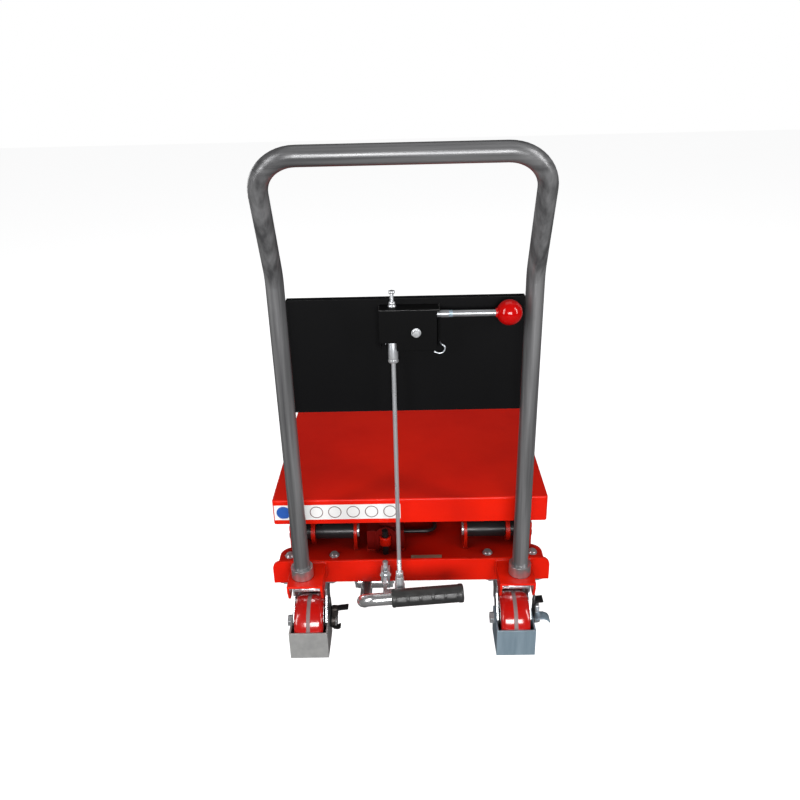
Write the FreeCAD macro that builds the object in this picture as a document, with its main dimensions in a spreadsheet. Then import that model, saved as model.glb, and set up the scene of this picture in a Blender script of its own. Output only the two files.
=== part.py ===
import FreeCAD, Part
import math
import os
import re
import Sketcher
from FreeCAD import Placement, Rotation, Vector

# Mobile scissor lift table, hand-pumped, shown lowered.
# Frame: +X to the operator's right, +Y from the push handle towards the far end of
# the platform, +Z up. The origin is on the floor, under the middle of the whole object.

DIMENSIONS = [
    # platform
    ("platLen", 815, "platform length along Y"),
    ("platWid", 500, "platform width along X"),
    ("platTop", 305, "height of the platform's top when lowered"),
    ("trayDepth", 50, "depth of the platform's folded skirt"),
    ("traySheet", 4, "thickness of the platform's sheet"),
    ("trayRound", 3, "radius of the platform's folded edges"),
    # base frame
    ("plateLow", 139, "underside of the base plates, which is the casters' mounting height"),
    ("plateThk", 6, "thickness of the base plates"),
    ("baseOver", 6, "how far the base plates stand out beyond the platform's sides"),
    ("lipBack", 20, "how far the rear lip stands behind the platform's rear edge"),
    ("lipThk", 5, "thickness of the rear lip"),
    ("lipTop", 186, "height of the rear lip's top edge"),
    ("lipRound", 15, "radius of the rear lip's top corners"),
    ("wingLen", 85, "reach of the rear plate's wings in front of the platform's rear edge"),
    ("railStart", 66, "start of the side rails in front of the platform's rear edge"),
    ("wingRound", 25, "radius of the wings' far corners"),
    ("floorLen", 190, "reach of the rear plate's middle in front of the platform's rear edge"),
    ("floorInset", 30, "rear plate's middle, in from the platform's sides"),
    ("frontLen", 125, "length of the front plate"),
    ("frontInset", 8, "how far the frame ends behind the platform's front edge"),
    ("beamSize", 40, "side of the cross beam's box section"),
    ("beamWall", 4, "wall of the cross beam"),
    # scissor
    ("armLen", 680, "arm length between end pivots"),
    ("armWid", 50, "arm depth"),
    ("armThk", 8, "arm thickness"),
    ("armInset", 63, "inner face of the inner arms, in from the platform's sides"),
    ("armGap", 4, "gap between inner and outer arms"),
    ("pivotFwd", 97, "fixed pivots, in front of the platform's rear edge"),
    ("pinDia", 20, "fixed and centre pivot pins"),
    ("rollPinDia", 16, "roller pins"),
    ("pinHead", 30, "pin heads"),
    ("pinHeadThk", 4, "thickness of the pin heads"),
    ("fitGap", 0.05, "radial running clearance of pins and axles"),
    ("tubeCross", 34, "diameter of the cross tubes"),
    ("crossEnd", 75, "end cross tubes, from the arm's end pivot"),
    ("crossMid", 60, "middle cross tube, from the centre pivot"),
    ("rollDia", 49.2, "roller diameter"),
    ("rollWid", 18, "roller width"),
    ("railWall", 5, "wall of the channel rails"),
    ("railDepth", 25, "width of the channel rails"),
    ("railClear", 3, "gap between a rail's lips and the arm beside it"),
    ("runGap", 0.4, "gap over and under a roller in its rail"),
    ("topRailLen", 378, "length of the platform's rails"),
    ("earThk", 6.5, "thickness of the platform's pivot ears"),
    ("earGap", 1, "gap between an arm and the ears beside it"),
    ("baseEarIn", 105, "inner face of the base's pivot ears, from the middle"),
    ("sleeveDia", 32, "pivot sleeves"),
    # lift cylinder
    ("cylFwd", 225, "cylinder's foot pin, in front of the fixed pivots"),
    ("cylDrop", 60, "cylinder's foot pin, below the base pivots"),
    ("cylTilt", 33.2, "cylinder's tilt when lowered, in degrees"),
    ("cylLen", 212.3, "cylinder's pin to pin length when lowered"),
    ("cylDia", 44, "barrel diameter"),
    ("boreDia", 35, "barrel bore"),
    ("ramDia", 25, "rod diameter"),
    ("barrelTop", 172, "top of the barrel, from its foot pin"),
    ("cylPin", 16, "cylinder pins"),
    ("eyeSlack", 1.8, "radial slack of the rod's eye on its push pin"),
    ("pushAft", 64.2, "push pin, from the centre pivot along the outer arms"),
    ("pushUp", 18, "push pin, above the outer arms' centre line"),
    # handle
    ("tubeDia", 28, "push handle tube"),
    ("tubeWall", 2, "wall of the handle tube"),
    ("tubeInset", 55, "handle tubes, in from the platform's sides"),
    ("footBack", 58, "handle tubes' feet behind the platform's rear edge"),
    ("footZ", 183, "top of the handle brackets"),
    ("leanLow", 1.535, "lean of the lower handle, in degrees"),
    ("kinkZ", 739, "height of the bend in the handle"),
    ("leanUp", 25.3, "lean of the upper handle, in degrees"),
    ("barZ", 921, "height of the grip bar's centre line"),
    ("cornerRad", 57, "centre line radius of the grip's corners"),
    ("kinkRad", 70, "centre line radius of the bend"),
    ("collarDia", 39, "collars at the handle's feet"),
    ("collarLen", 20, "height of the collars"),
    ("brackInner", 38, "inner side of the handle brackets, from the tubes"),
    ("brackOuter", 25, "outer side of the handle brackets, from the tubes"),
    ("brackLen", 71, "reach of the handle brackets behind the lip"),
    ("brackThk", 4, "sheet of the handle brackets"),
    ("brackTip", 33, "how far the bracket's ears hang down"),
    ("panelLow", 330, "panel's lower edge, up the tube from its foot"),
    ("panelHgt", 189, "height of the panel"),
    ("panelThk", 3, "sheet of the panel"),
    ("panelFold", 12, "depth of the panel's folded edges"),
    # release
    ("boxLeft", -40, "release box, left side"),
    ("boxRight", 51, "release box, right side"),
    ("boxLow", 445, "release box's lower edge, up the tube from its foot"),
    ("boxHgt", 65, "height of the release box"),
    ("boxDeep", 29, "depth of the release box from the panel's face"),
    ("boxThk", 2, "sheet of the release box"),
    ("leverX", 15.6, "hand lever's pivot, from the middle"),
    ("leverUp", 474, "hand lever's pivot, up the tube from its foot"),
    ("leverBack", 22.5, "middle of the lever plate, behind the tubes' plane"),
    ("leverThk", 4, "thickness of the lever plate"),
    ("leverRodDia", 10, "hand lever's rod"),
    ("knobInset", 40, "middle of the ball knob, in from the right tube"),
    ("knobDia", 39, "ball knob"),
    ("leverRise", 27, "lever rod above the pivot"),
    ("linkX", -20, "release rod, from the middle"),
    ("linkBack", 85, "release rod, behind the platform's rear edge"),
    ("linkDia", 7, "release rod"),
    ("linkPin", 8, "pin that joins the release rod to the hand lever"),
    ("linkSlack", 0.6, "radial slack of that pin in its slot"),
    ("valveBack", 32, "release valve's spindle, behind the platform's rear edge"),
    ("valveZ", 162.5, "height of the release valve's spindle"),
    # pump and pedal
    ("pedalX", -85, "pedal arm, from the middle"),
    ("pedalPinFwd", 20, "pedal's pin, in front of the platform's rear edge"),
    ("pedalPinZ", 110, "height of the pedal's pin"),
    ("pedalBack", 118, "pedal bar, behind the platform's rear edge"),
    ("pedalZ", 173, "height of the pedal bar at its bend"),
    ("pedalBar", 22, "diameter of the pedal bar"),
    ("pedalEndX", 90, "outer end of the pedal's sleeve"),
    ("sleeveStart", -34, "inner end of the pedal's sleeve"),
    ("gripDia", 33, "pedal sleeve"),
    ("plungerX", -49, "pump plunger, from the middle"),
    ("plungerFwd", 60, "pump plunger, in front of the platform's rear edge"),
    ("plungerDia", 12, "pump plunger"),
    # casters
    ("wheelDia", 100, "wheel diameter"),
    ("wheelWid", 54, "wheel width"),
    ("coreDia", 66, "wheel core"),
    ("axleDia", 12, "wheel axle"),
    ("casterInset", 57, "casters, in from the platform's sides"),
    ("casterFwd", 26, "rear casters' swivel axes, in front of the platform's rear edge"),
    ("frontFwd", 68, "front casters' axles, behind the platform's front edge"),
    ("trail", 46, "swivel axis to axle"),
    ("topPlate", 4, "thickness of the casters' top plates"),
    ("boltGapX", 87, "caster bolts, spacing along X"),
    ("boltGapY", 60, "caster bolts, spacing along Y"),
    ("boltDia", 8, "caster bolts"),
    ("forkIn", 29, "inner face of the fork's legs"),
    ("forkThk", 3.5, "thickness of the fork's legs"),
    ("guardOut", 36, "outer face of the foot guard's sides"),
    ("guardThk", 3, "sheet of the foot guard"),
    ("guardLow", 5, "guard's lower edge above the floor"),
    ("guardTop", 62, "guard's top edge"),
    ("guardReach", 53, "guard's nose, from the axle"),
]
FOLLOWERS = [
    ("baseWid", "=platWid + 2*baseOver", "width of the rear and front base plates"),
    ("floorWid", "=platWid - 2*floorInset", "width of the rear plate's middle"),
    ("armInner", "=platWid/2 - armInset", "inner face of the inner arms, from the middle"),
    ("tubeX", "=platWid/2 - tubeInset", "handle tubes, from the middle"),
    ("brackIn", "=tubeX - brackInner", "inner side of the handle brackets"),
    ("brackOut", "=tubeX + brackOuter", "outer side of the handle brackets"),
    ("casterX", "=platWid/2 - casterInset", "casters, from the middle"),
    ("knobX", "=tubeX - knobInset", "middle of the ball knob, from the middle"),
]

doc = FreeCAD.newDocument("ScissorLiftTable")
sheet = doc.addObject("Spreadsheet::Sheet", "Dims")
for row, (alias, value, note) in enumerate(DIMENSIONS + FOLLOWERS, 1):
    sheet.set(f"A{row}", alias)
    sheet.set(f"B{row}", str(value))
    sheet.set(f"C{row}", note)
    sheet.setAlias(f"B{row}", alias)
doc.recompute()
aliases = {alias for alias, value, note in DIMENSIONS + FOLLOWERS}
nodes = []


# ---------------------------------------------------------------- formulas and helpers
def size(alias):
    return float(sheet.get(alias))


def bound(formula):
    """Write a formula in aliases as an expression on the sheet."""
    swap = lambda word: "Dims." + word.group(0) if word.group(0) in aliases else word.group(0)
    return re.sub(r"[A-Za-z]\w*", swap, str(formula))


def tie(thing, prop, formula):
    thing.setExpression(prop, bound(formula))


# Lengths that several pieces share, in terms of the sheet.
reach = ("(footBack + (kinkZ - footZ)*tan(leanLow) + (barZ - kinkZ)*tan(leanUp) + tubeDia/2)")
rear = f"({reach} - platLen)/2"                      # Y of the platform's rear edge
front = f"({rear} + platLen)"
plateUp = "(plateLow + plateThk)"
lowPivZ = f"({plateUp} + railWall + runGap + rollDia/2)"
topPivZ = "(platTop - traySheet - railWall - runGap - rollDia/2)"
pivotY = f"({rear} + pivotFwd)"
tilt = f"asin(({topPivZ} - {lowPivZ})/armLen)"       # tilt of the lowered arms
midY = f"({pivotY} + armLen/2*cos({tilt}))"
midZ = f"(({topPivZ} + {lowPivZ})/2)"
outerIn = "(armInner + armThk + armGap)"             # inner face of the outer arms
outerOut = f"({outerIn} + armThk)"
cylY = f"({pivotY} + cylFwd)"
cylZ = f"({lowPivZ} - cylDrop)"
railHgt = "(rollDia + 2*runGap + 2*railWall)"
casterY = f"({rear} + casterFwd)"
frontAxleY = f"({front} - frontFwd)"
TURN = {
    "z": Rotation(),
    "x": Rotation(Vector(0, 1, 0), 90),
    "y": Rotation(Vector(1, 0, 0), -90),
    "down": Rotation(Vector(1, 0, 0), 180),
}


def place(thing, at, axis="z"):
    thing.Placement = Placement(Vector(), TURN[axis])
    for letter, formula in zip("xyz", at):
        tie(thing, "Placement.Base." + letter, formula)
    return thing


def box(name, span, at):
    """A box from its sizes and its lowest corner."""
    thing = doc.addObject("Part::Box", name)
    for prop, formula in zip(("Length", "Width", "Height"), span):
        tie(thing, prop, formula)
    return place(thing, at)


def rod(name, dia, length, at, axis="z"):
    thing = doc.addObject("Part::Cylinder", name)
    tie(thing, "Radius", f"({dia})/2")
    tie(thing, "Height", length)
    return place(thing, at, axis)


def cone(name, diaLow, diaHigh, height, at, axis="z"):
    thing = doc.addObject("Part::Cone", name)
    tie(thing, "Radius1", f"({diaLow})/2")
    tie(thing, "Radius2", f"({diaHigh})/2")
    tie(thing, "Height", height)
    return place(thing, at, axis)


def hexagon(name, flats, height, at, axis="z"):
    thing = doc.addObject("Part::Prism", name)
    thing.Polygon = 6
    tie(thing, "Circumradius", f"({flats})/2/cos(30)")
    tie(thing, "Height", height)
    return place(thing, at, axis)


def cut(name, base, *tools):
    for count, tool in enumerate(tools):
        result = doc.addObject("Part::Cut", name)
        result.Base = base
        result.Tool = tool
        base = result
    return base


def fuse(name, *pieces):
    thing = doc.addObject("Part::MultiFuse", name)
    thing.Shapes = list(pieces)
    thing.Refine = True
    return thing


def group(name, *pieces):
    thing = doc.addObject("Part::Compound", name)
    thing.Links = list(pieces)
    return thing


def mirrored(thing):
    other = doc.addObject("Part::Mirroring", thing.Name + "_mirrored")
    other.Source = thing
    other.Normal = Vector(1, 0, 0)
    return other


def pair(name, thing):
    return group(name, thing, mirrored(thing))


def moved(name, thing, at, angle=None):
    """A copy of a finished shape in a turned frame: angle is about +X, in degrees."""
    result = doc.addObject("Part::Compound", name)
    result.Links = [thing]
    result.Placement = Placement(Vector(), Rotation(Vector(1, 0, 0), 1))
    tie(result, "Placement.Rotation.Angle", angle if angle is not None else 0)
    for letter, formula in zip("xyz", at):
        tie(result, "Placement.Base." + letter, formula)
    return result


def keep(thing, name):
    thing.Label = name
    nodes.append(thing)
    return thing


def sketchOn(body, role):
    plane = next(f for f in body.Origin.OriginFeatures if f.Role == role)
    sketch = body.newObject("Sketcher::SketchObject", body.Name + "_sketch")
    sketch.AttachmentSupport = [(plane, "")]
    sketch.MapMode = "FlatFace"
    return sketch


def pin(sketch, geo, point, formulas):
    """Hold one sketch point at two formulas from the origin."""
    for kind, formula in zip(("DistanceX", "DistanceY"), formulas):
        start = Sketcher.Constraint(kind, -1, 1, geo, point, value(formula))
        index = sketch.addConstraint(start)
        tie(sketch, f"Constraints[{index}]", formula)


def value(formula):
    """The number that a formula gives with the sheet as it is."""
    return float(FreeCAD.Units.Quantity(sheet.evalExpression(bound(formula))).Value)


def outline(sketch, corners):
    start = len(sketch.Geometry)
    spots = [Vector(value(u), value(v), 0) for u, v in corners]
    for index, spot in enumerate(spots):
        sketch.addGeometry(Part.LineSegment(spot, spots[(index + 1) % len(spots)]))
    for index in range(len(spots)):
        following = start + (index + 1) % len(spots)
        sketch.addConstraint(Sketcher.Constraint("Coincident", start + index, 2, following, 1))
    for index, corner in enumerate(corners):
        pin(sketch, start + index, 1, corner)


def circle(sketch, centre, dia):
    geo = sketch.addGeometry(Part.Circle(Vector(value(centre[0]), value(centre[1]), 0),
                                         Vector(0, 0, 1), value(dia) / 2))
    index = sketch.addConstraint(Sketcher.Constraint("Radius", geo, value(dia) / 2))
    tie(sketch, f"Constraints[{index}]", f"({dia})/2")
    pin(sketch, geo, 3, centre)


def padded(name, role, corners, thickness, at, holes=(), rounds=()):
    """A plate: an outline and its holes on an origin plane, padded, with some corners
    of the outline rounded. rounds is a list of (corner numbers, radius)."""
    body = doc.addObject("PartDesign::Body", name)
    sketch = sketchOn(body, role)
    outline(sketch, corners)
    for centre, dia in holes:
        circle(sketch, centre, dia)
    pad = body.newObject("PartDesign::Pad", name + "_pad")
    pad.Profile = sketch
    tie(pad, "Length", thickness)
    doc.recompute()
    for numbers, radius in rounds:
        base = body.Tip
        spots = [flat(role, value(corners[n][0]), value(corners[n][1])) for n in numbers]
        edges = [f"Edge{i}" for i, edge in enumerate(base.Shape.Edges, 1)
                 if len(edge.Vertexes) == 2
                 and any(onLine(role, edge, spot) for spot in spots)]
        fillet = body.newObject("PartDesign::Fillet", name + "_round")
        fillet.Base = (base, edges)
        tie(fillet, "Radius", radius)
        doc.recompute()
    return place(body, at)


def flat(role, u, v):
    return {"XY_Plane": Vector(u, v, 0), "YZ_Plane": Vector(0, u, v), "XZ_Plane": Vector(u, 0, v)}[role]


def onLine(role, edge, spot):
    """Whether an edge runs along the pad's direction through a spot of its sketch."""
    normal = {"XY_Plane": Vector(0, 0, 1), "YZ_Plane": Vector(1, 0, 0), "XZ_Plane": Vector(0, 1, 0)}[role]
    gaps = [vertex.Point - spot for vertex in edge.Vertexes]
    return all((gap - normal * gap.dot(normal)).Length < 1e-4 for gap in gaps)


def roundedPath(points, radii):
    """Straight runs joined by tangent arcs, one radius for each inner point."""
    edges, last = [], points[0]
    for before, corner, after, radius in zip(points, points[1:], points[2:], radii):
        inward = (before - corner).normalize()
        outward = (after - corner).normalize()
        half = inward.getAngle(outward) / 2
        setback = radius / math.tan(half)
        start, end = corner + inward * setback, corner + outward * setback
        bisector = (inward + outward).normalize()
        middle = corner + bisector * (radius / math.sin(half) - radius)
        edges += [Part.LineSegment(last, start).toShape(), Part.Arc(start, middle, end).toShape()]
        last = end
    edges.append(Part.LineSegment(last, points[-1]).toShape())
    return Part.Wire(edges)


def tubeAlong(name, points, radii, dia, wall=0):
    """A round bar or tube swept along a rounded path."""
    wire = roundedPath(points, radii)
    direction = (points[1] - points[0]).normalize()

    def swept(radius):
        ring = Part.Wire(Part.makeCircle(radius, points[0], direction))
        return wire.makePipeShell([ring], True, False)

    shape = swept(dia / 2)
    if wall:
        shape = shape.cut(swept(dia / 2 - wall))
    thing = doc.addObject("Part::Feature", name)
    thing.Shape = shape
    return thing


# ---------------------------------------------------------------- base frame
def rearPlate():
    half, mid = "baseWid/2", "floorWid/2"
    corners = [(f"-{half}", "-lipBack + lipThk"), (half, "-lipBack + lipThk"), (half, "wingLen"),
               (mid, "wingLen"), (mid, "floorLen"), (f"-{mid}", "floorLen"),
               (f"-{mid}", "wingLen"), (f"-{half}", "wingLen")]
    holes = [((f"{side}*casterX + {dx}*boltGapX/2", f"casterFwd + {dy}*boltGapY/2"), "boltDia + 2*fitGap")
             for side in (-1, 1) for dx in (-1, 1) for dy in (-1, 1)]
    holes.append((("plungerX", "plungerFwd"), "plungerDia + 2*fitGap"))
    floor = padded("rear_floor", "XY_Plane", corners, "plateThk", ("0", rear, "plateLow"), holes,
                   [((2, 7), "wingRound")])
    lip = padded("rear_lip", "XZ_Plane",
                 [(f"-{half}", "plateLow"), (half, "plateLow"), (half, "lipTop"), (f"-{half}", "lipTop")],
                 "lipThk", ("0", f"{rear} - lipBack + lipThk", "0"), rounds=[((2, 3), "lipRound")])
    keep(fuse("rear_plate_whole", floor, lip), "rear_plate")


def frontPlate():
    half = "baseWid/2"
    holes = [((f"{side}*casterX + {dx}*boltGapX/2", f"-frontFwd + frontInset + {dy}*boltGapY/2"),
              "boltDia + 2*fitGap") for side in (-1, 1) for dx in (-1, 1) for dy in (-1, 1)]
    corners = [(f"-{half}", "-frontLen"), (half, "-frontLen"), (half, "0"), (f"-{half}", "0")]
    keep(padded("front_plate", "XY_Plane", corners, "plateThk",
                ("0", f"{front} - frontInset", "plateLow"), holes, [((0, 1, 2, 3), "lipRound")]),
         "front_plate")


def channel(name, length, webX, facing, at):
    """A channel rail along Y: its web at webX, its lips towards facing (1 or -1)."""
    w, d, t = railHgt, f"{facing}*railDepth", f"{facing}*railWall"
    corners = [("0", "0"), (d, "0"), (d, "railWall"), (t, "railWall"), (t, f"{w} - railWall"),
               (d, f"{w} - railWall"), (d, w), ("0", w)]
    return padded(name, "XZ_Plane", corners, length, (webX, at[0], at[1]))


def sideRails():
    length = "(platLen - railStart - frontInset)"
    left = channel("base_rail", length, f"-({outerOut} + railClear + railDepth)", 1,
                   (f"{rear} + railStart + {length}", plateUp))
    bore = rod("base_rail_hole", "pinDia + 2*fitGap", "2*railDepth",
               (f"-({outerOut} + 2*railDepth)", pivotY, lowPivZ), "x")
    keep(pair("side_rail_pair", cut("base_rail_drilled", left, bore)), "side_rails")


def crossBeam():
    wide = f"2*({outerOut} + railClear + railDepth)"
    aft = f"({cylY} - 27 - beamSize)"
    low = "(plateLow + plateThk - beamSize)"
    beam = box("beam_outer", (wide, "beamSize", "beamSize"), (f"-{wide}/2", aft, low))
    hollow = box("beam_inner", (f"{wide} + 2", "beamSize - 2*beamWall", "beamSize - 2*beamWall"),
                 (f"-{wide}/2 - 1", f"{aft} + beamWall", f"{low} + beamWall"))
    earIn = "(cylDia/2 + 5)"
    ear = padded("beam_ear", "YZ_Plane",
                 [("0", f"{low}"), ("43", f"{low}"), ("43", f"{cylZ} + 16"), ("0", f"{cylZ} + 24")],
                 "6", (f"{earIn}", f"{aft} + beamSize", "0"),
                 [(("27", cylZ), "cylPin + 2*fitGap")], [((1, 2), "12")])
    frame = fuse("beam_frame", cut("beam_tube", beam, hollow), pair("beam_ears", ear))
    shaft = rod("foot_pin", "cylPin", f"2*{earIn} + 18", (f"-{earIn} - 9", cylY, cylZ), "x")
    keep(group("cross_beam_set", frame, shaft), "cross_beam")


def basePivots():
    ear = padded("base_ear", "YZ_Plane",
                 [("-26", plateUp), ("26", plateUp), ("26", f"{lowPivZ} + 22"), ("-26", f"{lowPivZ} + 22")],
                 "plateThk", ("baseEarIn", pivotY, "0"), [(("0", lowPivZ), "pinDia + 2*fitGap")],
                 [((2, 3), "20")])
    keep(pair("base_ear_pair", ear), "base_pivot_brackets")
    webOut = f"({outerOut} + railClear + railDepth)"
    shaft = rod("base_pin", "pinDia", f"{webOut} + 3 - baseEarIn + 3", ("baseEarIn - 3", pivotY, lowPivZ), "x")
    head = rod("base_pin_head", "pinHead", "pinHeadThk", (f"{webOut} + 0.2", pivotY, lowPivZ), "x")
    nose = rod("base_pin_nose", "pinHead - 4", "3", ("baseEarIn - 3.2", pivotY, lowPivZ), "x")
    keep(pair("base_pin_pair", fuse("base_pin_whole", shaft, head, nose)), "base_pivot_pins")
    inner = ring("inner_sleeve", "sleeveDia", "pinDia + 2*fitGap", "armInner - 0.6 - baseEarIn - plateThk - 0.2",
                 ("baseEarIn + plateThk + 0.2", pivotY, lowPivZ), "x")
    outer = ring("outer_sleeve", "sleeveDia", "pinDia + 2*fitGap",
                 f"{webOut} - railWall - armInner - armThk - 0.8",
                 ("armInner + armThk + 0.6", pivotY, lowPivZ), "x")
    keep(group("sleeve_set", inner, outer, mirrored(inner), mirrored(outer)), "pivot_sleeves")


def ring(name, dia, bore, length, at, axis="z"):
    step = {"x": (1, 0, 0), "y": (0, 1, 0), "z": (0, 0, 1)}[axis]
    low = [f"({formula}) - {unit}" for formula, unit in zip(at, step)]
    return cut(name, rod(name + "_outer", dia, length, at, axis),
               rod(name + "_bore", bore, f"({length}) + 2", low, axis))


# ---------------------------------------------------------------- push handle and release
def handleBrackets():
    low, high = "brackIn", "brackOut"
    back = f"({rear} - lipBack)"
    top = padded("bracket_top", "XY_Plane",
                 [(low, "-brackLen"), (high, "-brackLen"), (high, "0"), (low, "0")], "brackThk",
                 ("0", back, "footZ - brackThk"),
                 [(("tubeX", "lipBack - footBack"), "tubeDia + 1.4")])
    side = [("0", "footZ - brackThk"), ("-brackLen", "footZ - brackThk"),
            ("-brackLen", "footZ - brackThk - 7"), ("-brackLen + 9", "footZ - brackTip"),
            ("-brackLen + 17", "footZ - brackTip"), ("-12", "footZ - 24"), ("0", "footZ - 24")]
    inner = padded("bracket_in", "YZ_Plane", side, "brackThk", (low, back, "0"), rounds=[((3, 4), "3.5")])
    outer = padded("bracket_out", "YZ_Plane", side, "brackThk", (f"{high} - brackThk", back, "0"),
                   rounds=[((3, 4), "3.5")])
    keep(pair("bracket_pair", fuse("bracket", top, inner, outer)), "handle_brackets")


def pushHandle():
    lean, leanTop = math.radians(size("leanLow")), math.radians(size("leanUp"))
    foot, kink, top = size("footZ"), size("kinkZ"), size("barZ")
    yFoot = value(rear) - size("footBack")
    low = foot - 14
    yLow = yFoot + (foot - low) * math.tan(lean)
    yKink = yFoot - (kink - foot) * math.tan(lean)
    yTop = yKink - (top - kink) * math.tan(leanTop)
    wide = size("tubeX")
    left = [Vector(-wide, yLow, low), Vector(-wide, yKink, kink), Vector(-wide, yTop, top)]
    points = left + [Vector(-p.x, p.y, p.z) for p in reversed(left)]
    radii = [size("kinkRad"), size("cornerRad"), size("cornerRad"), size("kinkRad")]
    keep(tubeAlong("handle_tube", points, radii, size("tubeDia"), size("tubeWall")), "push_handle")


def leaning(name, thing):
    """Turn a shape into the lower handle's own frame, whose origin is between its feet."""
    return moved(name, thing, ("0", f"{rear} - footBack", "footZ"), "leanLow")


def handleTrim():
    collar = ring("collar", "collarDia", "tubeDia + 0.1", "collarLen", ("tubeX", "0", "1"))
    keep(leaning("collar_pair", pair("collars", collar)), "handle_collars")
    wide = "2*(tubeX - tubeDia/2 - 0.4)"
    sheetPanel = box("panel_sheet", (wide, "panelThk", "panelHgt"), (f"-{wide}/2", "-panelThk/2", "panelLow"))
    lowFold = box("panel_low_fold", (wide, "panelFold", "panelThk"), (f"-{wide}/2", "-panelThk/2", "panelLow"))
    topFold = box("panel_top_fold", (wide, "panelFold", "panelThk"),
                  (f"-{wide}/2", "-panelThk/2", "panelLow + panelHgt - panelThk"))
    hole = rod("panel_bolt_hole", "boltDia + 2*fitGap", "4*panelThk", ("leverX", "-2*panelThk", "leverUp"), "y")
    keep(leaning("panel_set", cut("panel", fuse("panel_folded", sheetPanel, lowFold, topFold), hole)),
         "handle_panel")


def releaseBox():
    face = "(-panelThk/2)"
    wide = "(boxRight - boxLeft)"
    outer = box("box_outer", (wide, "boxDeep", "boxHgt"), ("boxLeft", f"{face} - boxDeep", "boxLow"))
    inner = box("box_inner", (f"{wide} - 2*boxThk", "boxDeep - boxThk", "boxHgt"),
                ("boxLeft + boxThk", f"{face} - boxDeep + boxThk", "boxLow - boxThk"))
    bolt = rod("box_bolt_hole", "boltDia + 2*fitGap", "3*boxThk",
               ("leverX", f"{face} - boxDeep - boxThk", "leverUp"), "y")
    stop = rod("box_stop_hole", "boltDia + 2*fitGap", "3*boxThk",
               ("linkX", f"{face} - boxDeep/3", "boxLow + boxHgt - 2*boxThk"))
    notch = box("box_notch", ("26 + boxThk", "3*boxThk", "14"),
                ("boxLeft - boxThk", f"{face} - boxDeep - boxThk", "boxLow - 1"))
    exit = box("box_lever_slot", ("3*boxThk", "leverRodDia + 6", "boxHgt - boxThk"),
               ("boxRight - 2*boxThk", "-leverBack - leverRodDia/2 - 3", "boxLow - 1"))
    keep(leaning("box_set", cut("release_box_cut", outer, inner, bolt, stop, notch, exit)), "release_box")
    head = hexagon("pivot_head", "13", "5.3", ("leverX", f"{face} - boxDeep - 5.5", "leverUp"), "y")
    shank = rod("pivot_shank", "boltDia", "boxDeep + 9", ("leverX", f"{face} - boxDeep - 1", "leverUp"), "y")
    nut = hexagon("pivot_nut", "13", "6.5", ("leverX", "panelThk/2 + 0.2", "leverUp"), "y")
    screw = rod("stop_shank", "boltDia", "40", ("linkX", f"{face} - boxDeep/3", "boxLow + boxHgt - 18"))
    screwHead = hexagon("stop_head", "13", "5.3", ("linkX", f"{face} - boxDeep/3", "boxLow + boxHgt + 20"))
    lockNut = hexagon("stop_nut", "13", "6", ("linkX", f"{face} - boxDeep/3", "boxLow + boxHgt + 0.2"))
    keep(leaning("release_bolt_set", group("release_bolts_all", fuse("pivot_bolt", head, shank, nut),
                                           fuse("stop_screw", screw, screwHead, lockNut))), "release_bolts")


def handLever():
    back = "(-leverBack)"
    arm = "(leverX - linkX)"
    plate = padded("lever_plate", "XZ_Plane",
                   [(f"-{arm} - 10", "-7"), ("11", "-7"), ("29", "leverRise - 8"), ("29", "leverRise + 5"),
                    ("-2", "13"), (f"-{arm} - 10", "7")],
                   "leverThk", ("leverX", f"{back} + leverThk/2", "leverUp"),
                   [(("0", "0"), "boltDia + 2*fitGap")], [((0, 5), "5")])
    slot = box("lever_slot", ("linkPin + 2*linkSlack + 3", "3*leverThk", "linkPin + 2*linkSlack"),
               ("linkX - (linkPin + 2*linkSlack + 3)/2", f"{back} - 1.5*leverThk",
                "leverUp - linkPin/2 - linkSlack"))
    bar = rod("lever_bar", "leverRodDia", "knobX - 38", ("38", back, "leverUp + leverRise"), "x")
    ferrule = rod("lever_ferrule", "leverRodDia + 1.2", "12", ("boxRight + 2", back, "leverUp + leverRise"), "x")
    keep(leaning("hand_lever_set", fuse("hand_lever_whole", cut("lever_plate_cut", plate, slot), bar, ferrule)),
         "hand_lever")
    ball = doc.addObject("Part::Sphere", "knob_ball")
    tie(ball, "Radius", "knobDia/2")
    place(ball, ("knobX", back, "leverUp + leverRise"))
    neck = rod("knob_neck", "14", "knobDia/2", ("knobX - knobDia/2 - 1", back, "leverUp + leverRise"), "x")
    bore = rod("knob_bore", "leverRodDia", "knobX", ("0", back, "leverUp + leverRise"), "x")
    keep(leaning("knob_set", cut("knob", fuse("knob_solid", ball, neck), bore)), "lever_knob")


pinY = f"({rear} - footBack - leverUp*sin(leanLow) - leverBack*cos(leanLow))"
pinZ = "(footZ + leverUp*cos(leanLow) - leverBack*sin(leanLow))"


def releaseRod():
    x, y = "linkX", f"({rear} - linkBack)"
    bar = rod("link_bar", "linkDia", f"{pinZ} - 148", (x, y, "148"))
    sleeve = rod("link_sleeve", "14.5", "36", (x, y, f"{pinZ} - 55"))
    clip = rod("link_clip", "2.4", "24", (f"{x} - 13", y, f"{pinZ} - 22"), "x")
    lowSleeve = cone("link_fitting", "18", "13", "30", (x, y, "170"))
    lowNut = hexagon("link_fitting_nut", "13", "10", (x, y, "199"))
    underNut = hexagon("link_under_nut", "13", "6.5", (x, y, "149"))
    eye = box("link_eye", ("11", "6", "24"), (f"{x} - 5.5", f"{y} - 3", f"{pinZ} - 17"))
    shaft = rod("link_pin", "linkPin", f"{y} - {pinY} + leverThk/2 + 0.8", (x, f"{pinY} - leverThk/2 - 0.8", pinZ),
                "y")
    keep(fuse("release_rod_whole", bar, sleeve, clip, lowSleeve, lowNut, underNut, eye, shaft), "release_rod")


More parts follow.
